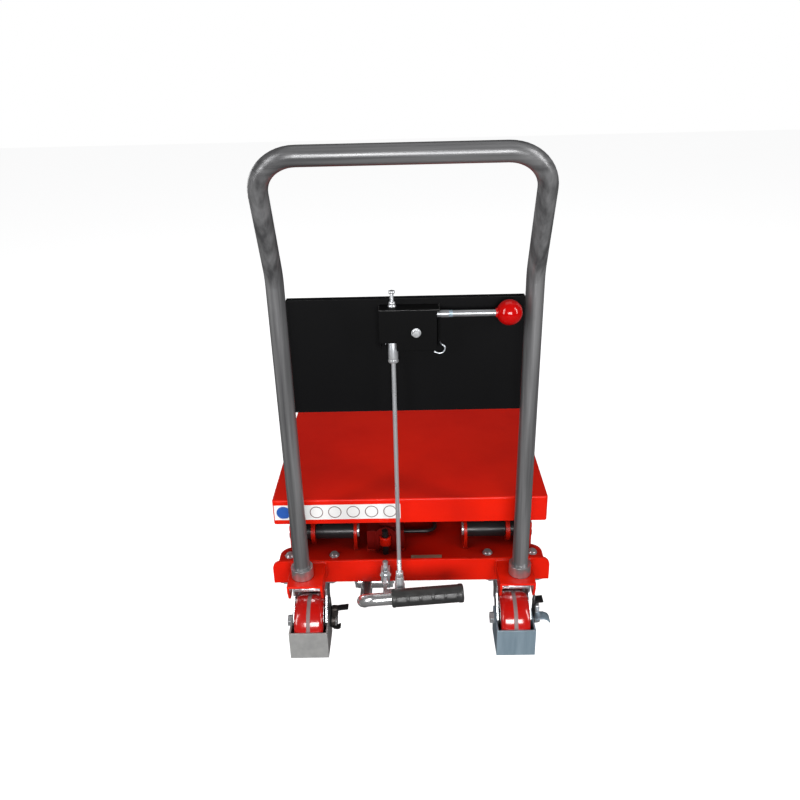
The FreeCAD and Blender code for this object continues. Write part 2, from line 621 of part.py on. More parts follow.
def releaseValve():
    spindleY = f"({rear} - valveBack)"
    block = box("valve_block", ("16", "valveBack - lipBack + 8", "24"),
                ("plungerX - 6", f"{spindleY} - 8", "valveZ - 12"))
    slit = box("valve_slit", ("7", "18", "30"), ("plungerX - 1.5", f"{spindleY} - 10", "valveZ - 15"))
    post = rod("valve_post", "9", "14", ("plungerX + 2", f"{spindleY} + 5", "valveZ + 12"))
    spindle = rod("valve_spindle", "6", "20", ("plungerX - 8", spindleY, "valveZ"), "x")
    keep(group("valve_set", cut("valve_body", fuse("valve_solid", block, post), slit,
                                rod("valve_spindle_hole", "6.1", "24", ("plungerX - 10", spindleY, "valveZ"), "x")),
               spindle), "release_valve")
    far = "(linkBack - valveBack)"
    strap = padded("valve_strap", "XY_Plane",
                   [("plungerX - 1", "-9"), ("plungerX - 1", f"-{far} - 9"), ("linkX + 9", f"-{far} - 9"),
                    ("linkX + 9", f"-{far} + 9"), ("plungerX + 5", f"-{far} + 9"), ("plungerX + 5", "-9")],
                   "5", ("0", spindleY, "valveZ - 2.5"), [(("linkX", f"-{far}"), "12.5")],
                   [((1, 2, 3), "5")])
    eye = ring("valve_eye", "14", "6 + 2*fitGap", "5", ("plungerX - 0.5", spindleY, "valveZ"), "x")
    web = box("valve_web", ("5", "7", "5"), ("plungerX - 0.5", f"{spindleY} - 11", "valveZ - 2.5"))
    keep(fuse("valve_lever_whole", strap, cut("valve_web_cut", web, rod("valve_web_bore", "10", "8",
         ("plungerX - 2", spindleY, "valveZ"), "x")), eye), "valve_lever")


# ---------------------------------------------------------------- pump and pedal
def pumpBody():
    y = f"({rear} + plungerFwd)"
    block = box("pump_block", ("72", "70", "45"), ("plungerX - 36", f"{y} + 10", plateUp))
    bore = rod("pump_tower", "46", "30", ("plungerX + 8", f"{y} + 45", f"{plateUp} + 35"))
    cap = rod("pump_filler", "16", "14", ("plungerX - 20", f"{y} + 60", f"{plateUp} + 45"))
    arch = padded("pump_arch", "XZ_Plane",
                  [("-20", "0"), ("-12", "0"), ("-12", "42"), ("12", "42"), ("12", "0"), ("20", "0"),
                   ("20", "54"), ("-20", "54")], "3.2", ("plungerX", f"{y} + 10", plateUp),
                  rounds=[((6, 7), "19"), ((2, 3), "11")])
    keep(fuse("pump_whole", block, bore, cap, arch), "pump_body")
    shaft = rod("plunger_shaft", "plungerDia", f"lipTop + 12 - pedalPinZ - 5", ("plungerX", y, "pedalPinZ + 5"))
    keep(shaft, "pump_plunger")


def pressurePipe():
    y = value(rear) + size("plungerFwd") + 60
    x0, x1 = size("plungerX") + 36, 50
    z = value(plateUp) + 10
    footY, footZ = value(cylY), value(cylZ)
    ear = size("cylDia") / 2 + 11
    points = [Vector(x0, y, z), Vector(x1, y, z), Vector(x1, footY, z), Vector(x1, footY, footZ),
              Vector(ear + 3.2, footY, footZ)]
    pipe = tubeAlong("pipe_run", points, [20, 20, 8], 8)
    pipe.Shape = pipe.Shape.fuse(Part.makeCylinder(9, 3.4, Vector(ear + 0.2, footY, footZ), Vector(1, 0, 0)))
    bore = Part.makeCylinder(size("cylPin") / 2 + 0.05, 5, Vector(ear - 1, footY, footZ), Vector(1, 0, 0))
    bore = bore.common(Part.makeBox(4, 60, 60, Vector(ear - 1, footY - 30, footZ - 30)))
    pipe.Shape = pipe.Shape.cut(bore)
    keep(pipe, "pressure_pipe")


def pedalBracket():
    y = f"({rear} + pedalPinFwd)"
    ear = [("-16", "plateLow"), ("16", "plateLow"), ("10", "pedalPinZ - 12"), ("-10", "pedalPinZ - 12")]
    left = padded("pedal_ear_left", "YZ_Plane", ear, "5", ("pedalX - 22.4", y, "0"),
                  [(("0", "pedalPinZ"), "axleDia + 2*fitGap")], [((2, 3), "8")])
    right = padded("pedal_ear_right", "YZ_Plane", ear, "5", ("plungerX + 8.4", y, "0"),
                   [(("0", "pedalPinZ"), "axleDia + 2*fitGap")], [((2, 3), "8")])
    shaft = rod("pedal_pin", "axleDia", "plungerX - pedalX + 40", ("pedalX - 24", y, "pedalPinZ"), "x")
    keep(group("pedal_bracket_set", left, right, shaft), "pedal_bracket")


def pedalRun():
    """The pedal bar's centre line: from its boss, back under the lip, up and round."""
    edge = value(rear)
    x, z = size("pedalX"), size("pedalZ")
    boss = Vector(x, edge + size("pedalPinFwd") - 10, size("pedalPinZ"))
    dip = Vector(x, edge - 50, size("pedalPinZ") + 6)
    bend = Vector(x, edge - size("pedalBack"), z)
    end = Vector(size("pedalEndX") - 3, edge - size("pedalBack") + 7, z + 8)
    return [boss, dip, bend, end]


def footPedal():
    points = pedalRun()
    bar = tubeAlong("pedal_bar_run", points, [60, 24], size("pedalBar"))
    y = f"({rear} + pedalPinFwd)"
    boss = rod("pedal_boss", "28", "plungerX + 8 - pedalX + 17", ("pedalX - 17", y, "pedalPinZ"), "x")
    rocker = box("pedal_rocker", ("12", "plungerFwd - pedalPinFwd + 8", "8"),
                 ("plungerX - 6", y, "pedalPinZ - 4"))
    whole = fuse("pedal_welded", bar, boss, rocker)
    bore = rod("pedal_bore", "axleDia + 2*fitGap", "120", ("pedalX - 40", y, "pedalPinZ"), "x")
    keep(cut("pedal_bar_whole", whole, bore), "pedal_bar")
    along = (points[3] - points[2]).normalize()
    start = points[3] - along * (size("pedalEndX") - 3 - size("sleeveStart")) / along.x
    length = (points[3] - start).Length
    grip = Part.makeCylinder(size("gripDia") / 2, length + 4, start, along)
    grip = grip.makeFillet(2.5, [e for e in grip.Edges if e.Length > 60 and e.Closed])
    grip = grip.cut(Part.makeCylinder(size("pedalBar") / 2, length, start, along))
    thing = doc.addObject("Part::Feature", "pedal_grip")
    thing.Shape = grip
    keep(thing, "pedal_sleeve")


# ---------------------------------------------------------------- casters
def wheel(name, x, y):
    """A cast core with a moulded tread. Both are solids of revolution about X."""
    half = "wheelWid/2"
    centre = (x, y, "wheelDia/2")
    tread = doc.addObject("PartDesign::Body", name + "_tread_body")
    sketch = sketchOn(tread, "XZ_Plane")
    outline(sketch, [(f"-{half}", "coreDia/2"), (half, "coreDia/2"), (half, "wheelDia/2 - 6"),
                     (f"{half} - 5", "wheelDia/2 - 1.2"), (f"{half} - 14", "wheelDia/2"),
                     (f"-{half} + 14", "wheelDia/2"), (f"-{half} + 5", "wheelDia/2 - 1.2"),
                     (f"-{half}", "wheelDia/2 - 6")])
    revolve(tread, sketch, name + "_tread_turn")
    keep(place(tread, centre), name + "_tread")
    core = doc.addObject("PartDesign::Body", name + "_core_body")
    sketch = sketchOn(core, "XZ_Plane")
    bore = "axleDia/2 + fitGap"
    outline(sketch, [("-forkIn + 1", bore), ("forkIn - 1", bore), ("forkIn - 1", "13"), ("9", "15"),
                     ("9", "coreDia/2 - 6"), (f"{half} - 2", "coreDia/2 - 5"), (f"{half} - 2", "coreDia/2"),
                     (f"-{half} + 2", "coreDia/2"), (f"-{half} + 2", "coreDia/2 - 5"),
                     ("-9", "coreDia/2 - 6"), ("-9", "15"), ("-forkIn + 1", "13")])
    revolve(core, sketch, name + "_core_turn")
    keep(place(core, centre), name + "_core")


def revolve(body, sketch, name):
    turned = body.newObject("PartDesign::Revolution", name)
    turned.Profile = sketch
    turned.ReferenceAxis = (sketch, ["H_Axis"])
    turned.Angle = 360
    doc.recompute()


def forkLegs(name, x, y, toeY, topZ, spread):
    """Two fork legs from a crown at topZ down to an axle toeY away."""
    side = [(f"-{spread}", topZ), (spread, topZ), (spread, f"{topZ} - 8"),
            (f"{toeY} + 17", "wheelDia/2 - 3"), (f"{toeY} + 10", "wheelDia/2 - 15"),
            (f"{toeY} - 10", "wheelDia/2 - 15"), (f"{toeY} - 17", "wheelDia/2 - 3"),
            (f"{toeY} - 17", "wheelDia/2 + 8"), (f"-{spread}", f"{topZ} - 14")]
    hole = [((toeY, "wheelDia/2"), "axleDia + 2*fitGap")]
    legs = []
    for word, offset in (("left", "-forkIn - forkThk"), ("right", "forkIn")):
        legs.append(padded(f"{name}_{word}_leg", "YZ_Plane", side, "forkThk",
                           (f"{x} + {offset}", y, "0"), hole, [((4, 5), "9"), ((3, 6), "8")]))
    return legs


def rearCaster(word, side):
    x = f"{side}*casterX"
    crownZ = "(wheelDia + 12)"
    name = f"swivel_{word}"
    legs = forkLegs(name, x, casterY, "-trail", crownZ, "34")
    crown = box(name + "_crown", ("2*(forkIn + forkThk)", "68", "4"),
                (f"{x} - forkIn - forkThk", f"{casterY} - 34", f"{crownZ} - 4"))
    apron = box(name + "_apron", ("2*(forkIn + forkThk) - 1", "forkThk", f"{crownZ} - wheelDia/2 - 7"),
                (f"{x} - forkIn - forkThk + 0.5", f"{casterY} + 8", "wheelDia/2 + 6"))
    race = cone(name + "_race", "62", "72", f"plateLow - topPlate - 0.4 - {crownZ}", (x, casterY, crownZ))
    king = rod(name + "_king", "16", f"plateLow - 0.6 - {crownZ}", (x, casterY, crownZ))
    keep(fuse(name + "_fork_whole", *legs, crown, apron, race, king), f"swivel_fork_{word}")
    axleY = f"({casterY} - trail)"
    nose = f"({axleY} - guardReach)"
    depth = "(guardReach + 20)"
    outer = box(name + "_guard_outer", ("2*guardOut", depth, "guardTop - guardLow"),
                (f"{x} - guardOut", nose, "guardLow"))
    inner = box(name + "_guard_inner", ("2*(guardOut - guardThk)", depth, "guardTop"),
                (f"{x} - guardOut + guardThk", f"{nose} + guardThk", "0"))
    hole = rod(name + "_guard_hole", "axleDia + 2*fitGap", "3*guardOut",
               (f"{x} - 1.5*guardOut", axleY, "wheelDia/2"), "x")
    keep(cut(name + "_guard_cut", outer, inner, hole), f"foot_guard_{word}")
    shaft = rod(name + "_axle_shaft", "axleDia", "2*guardOut + 22", (f"{x} - guardOut - 8", axleY, "wheelDia/2"), "x")
    head = hexagon(name + "_axle_head", "19", "8", (f"{x} - guardOut - 8.2", axleY, "wheelDia/2"), "x")
    nut = hexagon(name + "_axle_nut", "19", "8", (f"{x} + guardOut + 5", axleY, "wheelDia/2"), "x")
    keep(fuse(name + "_axle_whole", shaft, head, nut), f"swivel_axle_{word}")
    wheel(f"rear_wheel_{word}", x, axleY)
    plate = padded(f"brake_{word}_plate", "YZ_Plane",
                   [("-8", "-12"), ("12", "-12"), ("16", "20"), ("10", "42"), ("-8", "42"), ("-14", "12")],
                   "3", (f"{x} + guardOut + 0.8", axleY, "wheelDia/2"),
                   [(("0", "0"), "axleDia + 2*fitGap")], [((0, 1), "6")])
    tab = box(f"brake_{word}_tab", ("30", "24", "3"), (f"{x} + guardOut + 0.8", f"{axleY} - 12", "wheelDia/2 + 39"))
    heel = box(f"brake_{word}_heel", ("32", "14", "3"), (f"{x} + guardOut + 0.8", f"{axleY} - 24", "wheelDia/2 + 11"))
    keep(fuse(f"brake_{word}_whole", plate, tab, heel), f"brake_pedal_{word}")


def casterHardware():
    x = "casterX"
    rearTop = padded("rear_top_plate", "XY_Plane",
                     [("-57", "-43"), ("57", "-43"), ("57", "43"), ("-57", "43")], "topPlate",
                     (x, casterY, "plateLow - topPlate"),
                     [((f"{dx}*boltGapX/2", f"{dy}*boltGapY/2"), "boltDia + 2*fitGap")
                      for dx in (-1, 1) for dy in (-1, 1)] + [(("0", "0"), "16 + 2*fitGap")],
                     [((0, 1, 2, 3), "10")])
    keep(pair("rear_top_plates", rearTop), "caster_plates")
    bolts = []
    low = "(plateLow - topPlate)"
    for dx in (-1, 1):
        for dy in (-1, 1):
            # The rear bolts drop in from above. The front ones screw into the plate from
            # below, because the rails stand over them.
            bx, by = f"casterX + {dx}*boltGapX/2", f"{casterY} + {dy}*boltGapY/2"
            rearBolt = fuse("rear_bolt_whole",
                            rod("rear_bolt", "boltDia", "plateThk + topPlate + 12", (bx, by, f"{low} - 9")),
                            rod("rear_bolt_head", "14", "5", (bx, by, f"{plateUp} + 0.1")),
                            hexagon("rear_bolt_nut", "13", "6.5", (bx, by, f"{low} - 6.6")))
            by = f"{frontAxleY} + {dy}*boltGapY/2"
            frontBolt = fuse("front_bolt_whole",
                             rod("front_bolt", "boltDia", "plateThk + topPlate + 5", (bx, by, f"{low} - 5.2")),
                             hexagon("front_bolt_head", "13", "5.3", (bx, by, f"{low} - 5.4")))
            bolts += [rearBolt, mirrored(rearBolt), frontBolt, mirrored(frontBolt)]
    keep(group("bolt_set", *bolts), "caster_bolts")


def frontCasters():
    x = "casterX"
    topZ = "(plateLow - topPlate)"
    plate = padded("front_top_plate", "XY_Plane",
                   [("-57", "-43"), ("57", "-43"), ("57", "43"), ("-57", "43")], "topPlate",
                   (x, frontAxleY, topZ), [((f"{dx}*boltGapX/2", f"{dy}*boltGapY/2"), "boltDia + 2*fitGap")
                                           for dx in (-1, 1) for dy in (-1, 1)], [((0, 1, 2, 3), "10")])
    legs = forkLegs("front", x, frontAxleY, "0", topZ, "20")
    keep(pair("front_fork_pair", fuse("front_fork", plate, *legs)), "front_forks")
    shaft = rod("front_axle_shaft", "axleDia", "2*(forkIn + forkThk) + 18",
                (f"{x} - forkIn - forkThk - 7", frontAxleY, "wheelDia/2"), "x")
    head = hexagon("front_axle_head", "19", "7", (f"{x} - forkIn - forkThk - 7.2", frontAxleY, "wheelDia/2"), "x")
    nut = hexagon("front_axle_nut", "19", "8", (f"{x} + forkIn + forkThk + 0.2", frontAxleY, "wheelDia/2"), "x")
    keep(pair("front_axle_pair", fuse("front_axle", shaft, head, nut)), "front_axles")
    for word, side in (("left", -1), ("right", 1)):
        wheel(f"front_wheel_{word}", f"{side}*casterX", frontAxleY)


# ---------------------------------------------------------------- scissor, platform, cylinder
def arm(name, inner):
    """One arm in its own frame: centre pivot at the origin, length along Y."""
    body = doc.addObject("PartDesign::Body", name)
    sketch = sketchOn(body, "YZ_Plane")
    long, half = size("armLen") / 2, size("armWid") / 2
    top = sketch.addGeometry(Part.LineSegment(Vector(-long, half, 0), Vector(long, half, 0)))
    low = sketch.addGeometry(Part.LineSegment(Vector(long, -half, 0), Vector(-long, -half, 0)))
    right = sketch.addGeometry(Part.Arc(Vector(long, -half, 0), Vector(long + half, 0, 0), Vector(long, half, 0)))
    left = sketch.addGeometry(Part.Arc(Vector(-long, half, 0), Vector(-long - half, 0, 0), Vector(-long, -half, 0)))
    sketch.addConstraint([Sketcher.Constraint("Tangent", top, 2, right, 2),
                          Sketcher.Constraint("Tangent", right, 1, low, 1),
                          Sketcher.Constraint("Tangent", low, 2, left, 2),
                          Sketcher.Constraint("Tangent", left, 1, top, 1)])
    for geo, along in ((right, "armLen/2"), (left, "-armLen/2")):
        pin(sketch, geo, 3, (along, "0"))
    index = sketch.addConstraint(Sketcher.Constraint("Radius", right, half))
    tie(sketch, f"Constraints[{index}]", "armWid/2")
    circle(sketch, ("-armLen/2", "0"), "pinDia + 2*fitGap")
    circle(sketch, ("0", "0"), "pinDia + 2*fitGap")
    circle(sketch, ("armLen/2", "0"), "rollPinDia + 2*fitGap")
    pad = body.newObject("PartDesign::Pad", name + "_pad")
    pad.Profile = sketch
    tie(pad, "Length", "armThk")
    return place(body, (inner, "0", "0"))


def crossTube(name, half, along):
    return rod(name, "tubeCross", f"2*({half})", (f"-({half})", along, "0"), "x")


def scissor():
    middle = ("0", midY, midZ)
    inner = pair("inner_arm_pair", arm("inner_arm", "armInner"))
    tubes = group("inner_tubes", crossTube("inner_rear_tube", "armInner", "-armLen/2 + crossEnd"),
                  crossTube("inner_mid_tube", "armInner", "-crossMid"))
    keep(moved("inner_frame_set", group("inner_frame_all", inner, tubes), middle, tilt), "inner_frame")
    centre = fuse("centre_pin", rod("centre_shaft", "pinDia", f"{outerOut} - armInner + 1",
                                    ("armInner - 0.5", "0", "0"), "x"),
                  rod("centre_head_in", "pinHead", "pinHeadThk - 0.5", ("armInner - pinHeadThk", "0", "0"), "x"),
                  rod("centre_head_out", "pinHead", "pinHeadThk - 0.5", (f"{outerOut} + 0.5", "0", "0"), "x"))
    rollIn = "(armInner - railClear - railDepth + railWall + 0.6)"
    innerRoll = rod("inner_roll_pin", "rollPinDia", f"armInner + armThk + 1 - {rollIn}", (rollIn, "armLen/2", "0"), "x")
    keep(moved("inner_pin_set", group("inner_pins_all", centre, mirrored(centre), innerRoll, mirrored(innerRoll)),
               middle, tilt), "inner_pins")

    flip = pair("outer_arm_pair", arm("outer_arm", outerIn))
    outerTubes = group("outer_tubes", crossTube("outer_rear_tube", outerIn, "-armLen/2 + crossEnd"),
                       crossTube("outer_front_tube", outerIn, "armLen/2 - crossEnd"))
    keep(moved("outer_frame_set", group("outer_frame_all", flip, outerTubes), middle, f"-{tilt}"), "outer_frame")
    bar = "armLen/2 - crossEnd"
    web = padded("push_web", "YZ_Plane",
                 [("pushAft - 14", "pushUp + 12"), ("pushAft - 14", "pushUp - 12"), (bar, "-14"),
                  (bar, "14"), ("pushAft + 14", "pushUp + 14")], "8", ("cylDia/2 + 8", "0", "0"),
                 [(("pushAft", "pushUp"), "cylPin + 2*fitGap")], [((0, 1), "11")])
    webCut = cut("push_web_cut", web, crossTube("push_web_notch", outerIn, bar))
    shaft = rod("push_pin", "cylPin", "cylDia + 36", ("-cylDia/2 - 18", "pushAft", "pushUp"), "x")
    keep(moved("push_bracket_set", group("push_bracket_all", pair("push_webs", webCut), shaft), middle, f"-{tilt}"),
         "push_bracket")
    out = f"({outerOut} + railClear + railDepth - railWall - 0.6)"
    outerRoll = rod("outer_roll_pin", "rollPinDia", f"{out} - {outerIn} + 1", (f"{outerIn} - 1", "armLen/2", "0"), "x")
    keep(moved("outer_pin_set", pair("outer_pins_all", outerRoll), middle, f"-{tilt}"), "outer_roller_pins")

    frontY = f"({pivotY} + armLen*cos({tilt}))"
    for word, side in (("left", -1), ("right", 1)):
        for which, low, z in (("inner", f"{rollIn} + 0.6", topPivZ), ("outer", f"({outerOut} + railClear + 1)", lowPivZ)):
            start = low if side > 0 else f"-({low}) - rollWid"
            roller = ring(f"{which}_roller_{word}_body", "rollDia", "rollPinDia + 2*fitGap", "rollWid",
                          (start, frontY, z), "x")
            keep(roller, f"{which}_roller_{word}")


def platform():
    body = padded("tray_block", "XY_Plane",
                  [("-platWid/2", "0"), ("platWid/2", "0"), ("platWid/2", "platLen"), ("-platWid/2", "platLen")],
                  "trayDepth", ("0", rear, "platTop - trayDepth"), rounds=[((0, 1, 2, 3), "2*trayRound")])
    top = [f"Edge{i}" for i, edge in enumerate(body.Tip.Shape.Edges, 1)
           if all(abs(v.Z - size("trayDepth")) < 1e-4 for v in edge.Vertexes)]
    base = body.Tip
    fillet = body.newObject("PartDesign::Fillet", "tray_edge_round")
    fillet.Base = (base, top)
    tie(fillet, "Radius", "trayRound")
    doc.recompute()
    hollow = box("tray_hollow", ("platWid - 2*traySheet", "platLen - 2*traySheet", "trayDepth"),
                 ("-platWid/2 + traySheet", f"{rear} + traySheet", "platTop - trayDepth - traySheet"))
    keep(cut("tray_cut", body, hollow), "platform_tray")

    webX = "(armInner - railClear - railDepth)"
    rail = channel("top_rail", "topRailLen", webX, 1,
                   (f"{front} - traySheet - 6", f"platTop - traySheet - {railHgt}"))
    keep(pair("top_rail_pair", rail), "platform_rails")
    ears = []
    for word, x in (("in", f"{outerIn} - earGap - earThk"), ("out", f"{outerOut} + earGap")):
        ears.append(padded(f"top_ear_{word}", "YZ_Plane",
                           [("-22", "platTop - traySheet"), ("-22", f"{topPivZ} - 22"), ("22", f"{topPivZ} - 22"),
                            ("22", "platTop - traySheet")], "earThk", (x, pivotY, "0"),
                           [(("0", topPivZ), "pinDia + 2*fitGap")], [((1, 2), "18")]))
    keep(group("top_ears", *ears, *[mirrored(ear) for ear in ears]), "platform_brackets")
    start = f"({outerIn} - earGap - earThk - 0.3)"
    shaft = rod("top_pin_shaft", "pinDia", "armThk + 2*earGap + 2*earThk + 4", (start, pivotY, topPivZ), "x")
    head = rod("top_pin_head", "pinHead", "3", (f"{outerOut} + earGap + earThk + 0.3", pivotY, topPivZ), "x")
    keep(pair("top_pins", fuse("top_pin", shaft, head)), "platform_pins")


def liftCylinder():
    """Built along Y from its foot pin, then tilted."""
    foot = ("0", cylY, cylZ)
    eye = rod("barrel_eye", "36", "cylDia + 6", ("-cylDia/2 - 3", "0", "0"), "x")
    tubeBody = rod("barrel_tube", "cylDia", "barrelTop - 8", ("0", "8", "0"), "y")
    gland = rod("barrel_gland", "cylDia + 4", "14", ("0", "barrelTop - 14", "0"), "y")
    solid = fuse("barrel_solid", eye, tubeBody, gland)
    bore = rod("barrel_bore", "boreDia", "barrelTop - 42", ("0", "32", "0"), "y")
    neck = rod("barrel_neck", "ramDia + 2*fitGap", "barrelTop", ("0", "40", "0"), "y")
    hinge = rod("barrel_hinge", "cylPin + 2*fitGap", "2*cylDia", ("-cylDia", "0", "0"), "x")
    keep(moved("barrel_set", cut("barrel", solid, bore, neck, hinge), foot, "cylTilt"), "cylinder_barrel")
    ram = rod("ram_bar", "ramDia", "cylLen - 45 - 10", ("0", "45", "0"), "y")
    piston = rod("ram_piston", "boreDia - 2*fitGap", "18", ("0", "36", "0"), "y")
    head = rod("ram_eye", "36", "cylDia + 6", ("-cylDia/2 - 3", "cylLen", "0"), "x")
    hole = rod("ram_eye_bore", "cylPin + 2*eyeSlack", "2*cylDia", ("-cylDia", "cylLen", "0"), "x")
    keep(moved("ram_set", cut("ram", fuse("ram_solid", ram, piston, head), hole), foot, "cylTilt"), "piston_rod")


for build in (rearPlate, frontPlate, sideRails, crossBeam, basePivots, handleBrackets, pushHandle, handleTrim,
              releaseBox, handLever, releaseRod, releaseValve, pumpBody, pressurePipe, pedalBracket, footPedal,
              casterHardware, frontCasters, scissor, platform, liftCylinder):
    build()
for word, side in (("left", -1), ("right", 1)):
    rearCaster(word, side)
doc.recompute()

for thing in doc.Objects:
    if {"Invalid", "Error"} & set(thing.State):
        raise RuntimeError(f"{thing.Name} did not compute: {thing.State}")
for thing in nodes:
    if thing.Shape.isNull() or not thing.Shape.isValid() or not thing.Shape.Solids:
        raise RuntimeError(f"{thing.Label} has no valid solid")

os.makedirs("parts", exist_ok=True)
for thing in nodes:
    thing.Shape.exportStep(f"parts/{thing.Label}.step")
print(len(nodes), "sub-parts written")
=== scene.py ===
import math

import bmesh
import bpy
from mathutils import Matrix, Vector


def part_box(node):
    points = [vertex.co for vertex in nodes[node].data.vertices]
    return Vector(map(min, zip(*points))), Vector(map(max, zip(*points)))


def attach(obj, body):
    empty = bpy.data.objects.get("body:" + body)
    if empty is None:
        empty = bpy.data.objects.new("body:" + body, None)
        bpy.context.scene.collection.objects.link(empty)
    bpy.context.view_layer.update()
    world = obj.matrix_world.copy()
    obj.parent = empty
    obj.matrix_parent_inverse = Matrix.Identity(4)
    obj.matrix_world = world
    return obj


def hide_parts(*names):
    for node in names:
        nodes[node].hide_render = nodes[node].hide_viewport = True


mm = 0.001
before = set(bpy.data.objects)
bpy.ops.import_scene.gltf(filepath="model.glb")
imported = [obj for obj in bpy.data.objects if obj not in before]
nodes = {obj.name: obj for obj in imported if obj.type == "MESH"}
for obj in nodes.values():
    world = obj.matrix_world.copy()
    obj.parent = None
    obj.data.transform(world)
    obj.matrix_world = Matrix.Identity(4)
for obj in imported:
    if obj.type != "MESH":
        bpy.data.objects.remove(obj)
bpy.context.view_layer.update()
print("frame loaded with", len(nodes), "nodes")

# Studio: camera, lights, floor and sky

cameraSet = {"place": (0.0065, -1.51925, 1.0421), "turn": -0.92, "down": 24.31, "roll": -1.44, "lens": 34.81}
lightSet = {  # place, aim, width, height, power
    "leftBox": ((-1.7, -1.5, 1.25), (0.0, -0.2, 0.45), 0.55, 1.7, 24),
    "rightBox": ((1.8, -1.3, 1.35), (0.0, -0.2, 0.45), 0.4, 1.7, 22),
    "frontBox": ((0.1, -2.9, 1.05), (0.0, -0.3, 0.35), 1.5, 0.8, 62),
    "topBox": ((0.0, 0.3, 2.7), (0.0, 0.0, 0.3), 1.6, 1.2, 4),
    "backBox": ((-2.0, 1.8, 0.8), (0.0, 0.0, 0.4), 0.9, 1.2, 8),
}
skySet = {"seen": (1.0, 1.0, 1.0), "felt": (0.06, 0.06, 0.062)}
floorSet = {"half": 9.0, "seen": 0.86, "felt": 0.12, "glow": 0.90}


def setCamera(how):
    turn, down, roll = (math.radians(how[key]) for key in ("turn", "down", "roll"))
    ahead = Vector((math.sin(turn) * math.cos(down), math.cos(turn) * math.cos(down), -math.sin(down)))
    side = Vector((math.cos(turn), -math.sin(turn), 0))
    lift = side.cross(ahead)
    right = side * math.cos(roll) + lift * math.sin(roll)
    up = lift * math.cos(roll) - side * math.sin(roll)
    data = bpy.data.cameras.new("studioCamera")
    data.lens = how["lens"]
    data.clip_start = 0.01
    camera = bpy.data.objects.new("studioCamera", data)
    bpy.context.collection.objects.link(camera)
    camera.matrix_world = Matrix.Translation(how["place"]) @ Matrix((right, up, -ahead)).transposed().to_4x4()
    bpy.context.scene.camera = camera


def setLights(boxes):
    for name, (place, aim, width, height, power) in boxes.items():
        data = bpy.data.lights.new(name, "AREA")
        data.shape = "RECTANGLE"
        data.size, data.size_y, data.energy = width, height, power
        light = bpy.data.objects.new(name, data)
        bpy.context.collection.objects.link(light)
        light.location = place
        light.rotation_euler = (Vector(aim) - Vector(place)).to_track_quat("-Z", "Y").to_euler()


def setSky(how):
    world = bpy.data.worlds.new("studioSky")
    world.use_nodes = True
    bpy.context.scene.world = world
    tree = world.node_tree
    tree.nodes.clear()
    path = tree.nodes.new("ShaderNodeLightPath")
    pick = tree.nodes.new("ShaderNodeMix")
    pick.data_type = "RGBA"
    pick.inputs[6].default_value = (*how["felt"], 1)
    pick.inputs[7].default_value = (*how["seen"], 1)
    shine = tree.nodes.new("ShaderNodeBackground")
    out = tree.nodes.new("ShaderNodeOutputWorld")
    tree.links.new(path.outputs["Is Camera Ray"], pick.inputs[0])
    tree.links.new(pick.outputs[2], shine.inputs["Color"])
    tree.links.new(shine.outputs[0], out.inputs[0])


def setFloor(how):
    shape = bmesh.new()
    bmesh.ops.create_grid(shape, x_segments=1, y_segments=1, size=how["half"])
    mesh = bpy.data.meshes.new("studioFloor")
    shape.to_mesh(mesh)
    floor = bpy.data.objects.new("studioFloor", mesh)
    bpy.context.collection.objects.link(floor)
    paint = bpy.data.materials.new("studioFloor")
    paint.use_nodes = True
    tree = paint.node_tree
    tree.nodes.clear()
    path = tree.nodes.new("ShaderNodeLightPath")
    seen, felt = (tree.nodes.new("ShaderNodeBsdfDiffuse") for _ in range(2))
    seen.inputs[0].default_value = (how["seen"],) * 3 + (1,)
    felt.inputs[0].default_value = (how["felt"],) * 3 + (1,)
    glow = tree.nodes.new("ShaderNodeEmission")
    glow.inputs["Strength"].default_value = how["glow"]
    both = tree.nodes.new("ShaderNodeAddShader")
    pick = tree.nodes.new("ShaderNodeMixShader")
    out = tree.nodes.new("ShaderNodeOutputMaterial")
    tree.links.new(seen.outputs[0], both.inputs[0])
    tree.links.new(glow.outputs[0], both.inputs[1])
    tree.links.new(path.outputs["Is Camera Ray"], pick.inputs[0])
    tree.links.new(felt.outputs[0], pick.inputs[1])
    tree.links.new(both.outputs[0], pick.inputs[2])
    tree.links.new(pick.outputs[0], out.inputs[0])
    mesh.materials.append(paint)


bpy.context.scene.view_settings.view_transform = "Standard"
setCamera(cameraSet)
setLights(lightSet)
setSky(skySet)
setFloor(floorSet)
print("studio ready")

# Finishes: four shared effects, then one dictionary for each finish


def addNode(tree, kind, **settings):
    node = tree.nodes.new(kind)
    for key, value in settings.items():
        setattr(node, key, value)
    return node


def addRange(tree, label, low, high):
    # a map range with two of its limits set, such as "From" or "To"
    node = addNode(tree, "ShaderNodeMapRange")
    node.inputs[label + " Min"].default_value, node.inputs[label + " Max"].default_value = low, high
    return node


def multiplied(tree, first, second, **settings):
    node = addNode(tree, "ShaderNodeMath", operation="MULTIPLY", **settings)
    tree.links.new(first, node.inputs[0])
    tree.links.new(second, node.inputs[1])
    return node.outputs[0]


def newGroup(name, numbers, outs):
    group = bpy.data.node_groups.new(name, "ShaderNodeTree")
    group.interface.new_socket("Vector", in_out="INPUT", socket_type="NodeSocketVector")
    for label, value in numbers:
        group.interface.new_socket(label, in_out="INPUT", socket_type="NodeSocketFloat").default_value = value
    for label, kind in outs:
        group.interface.new_socket(label, in_out="OUTPUT", socket_type=kind)
    return group, group.nodes.new("NodeGroupInput"), group.nodes.new("NodeGroupOutput")


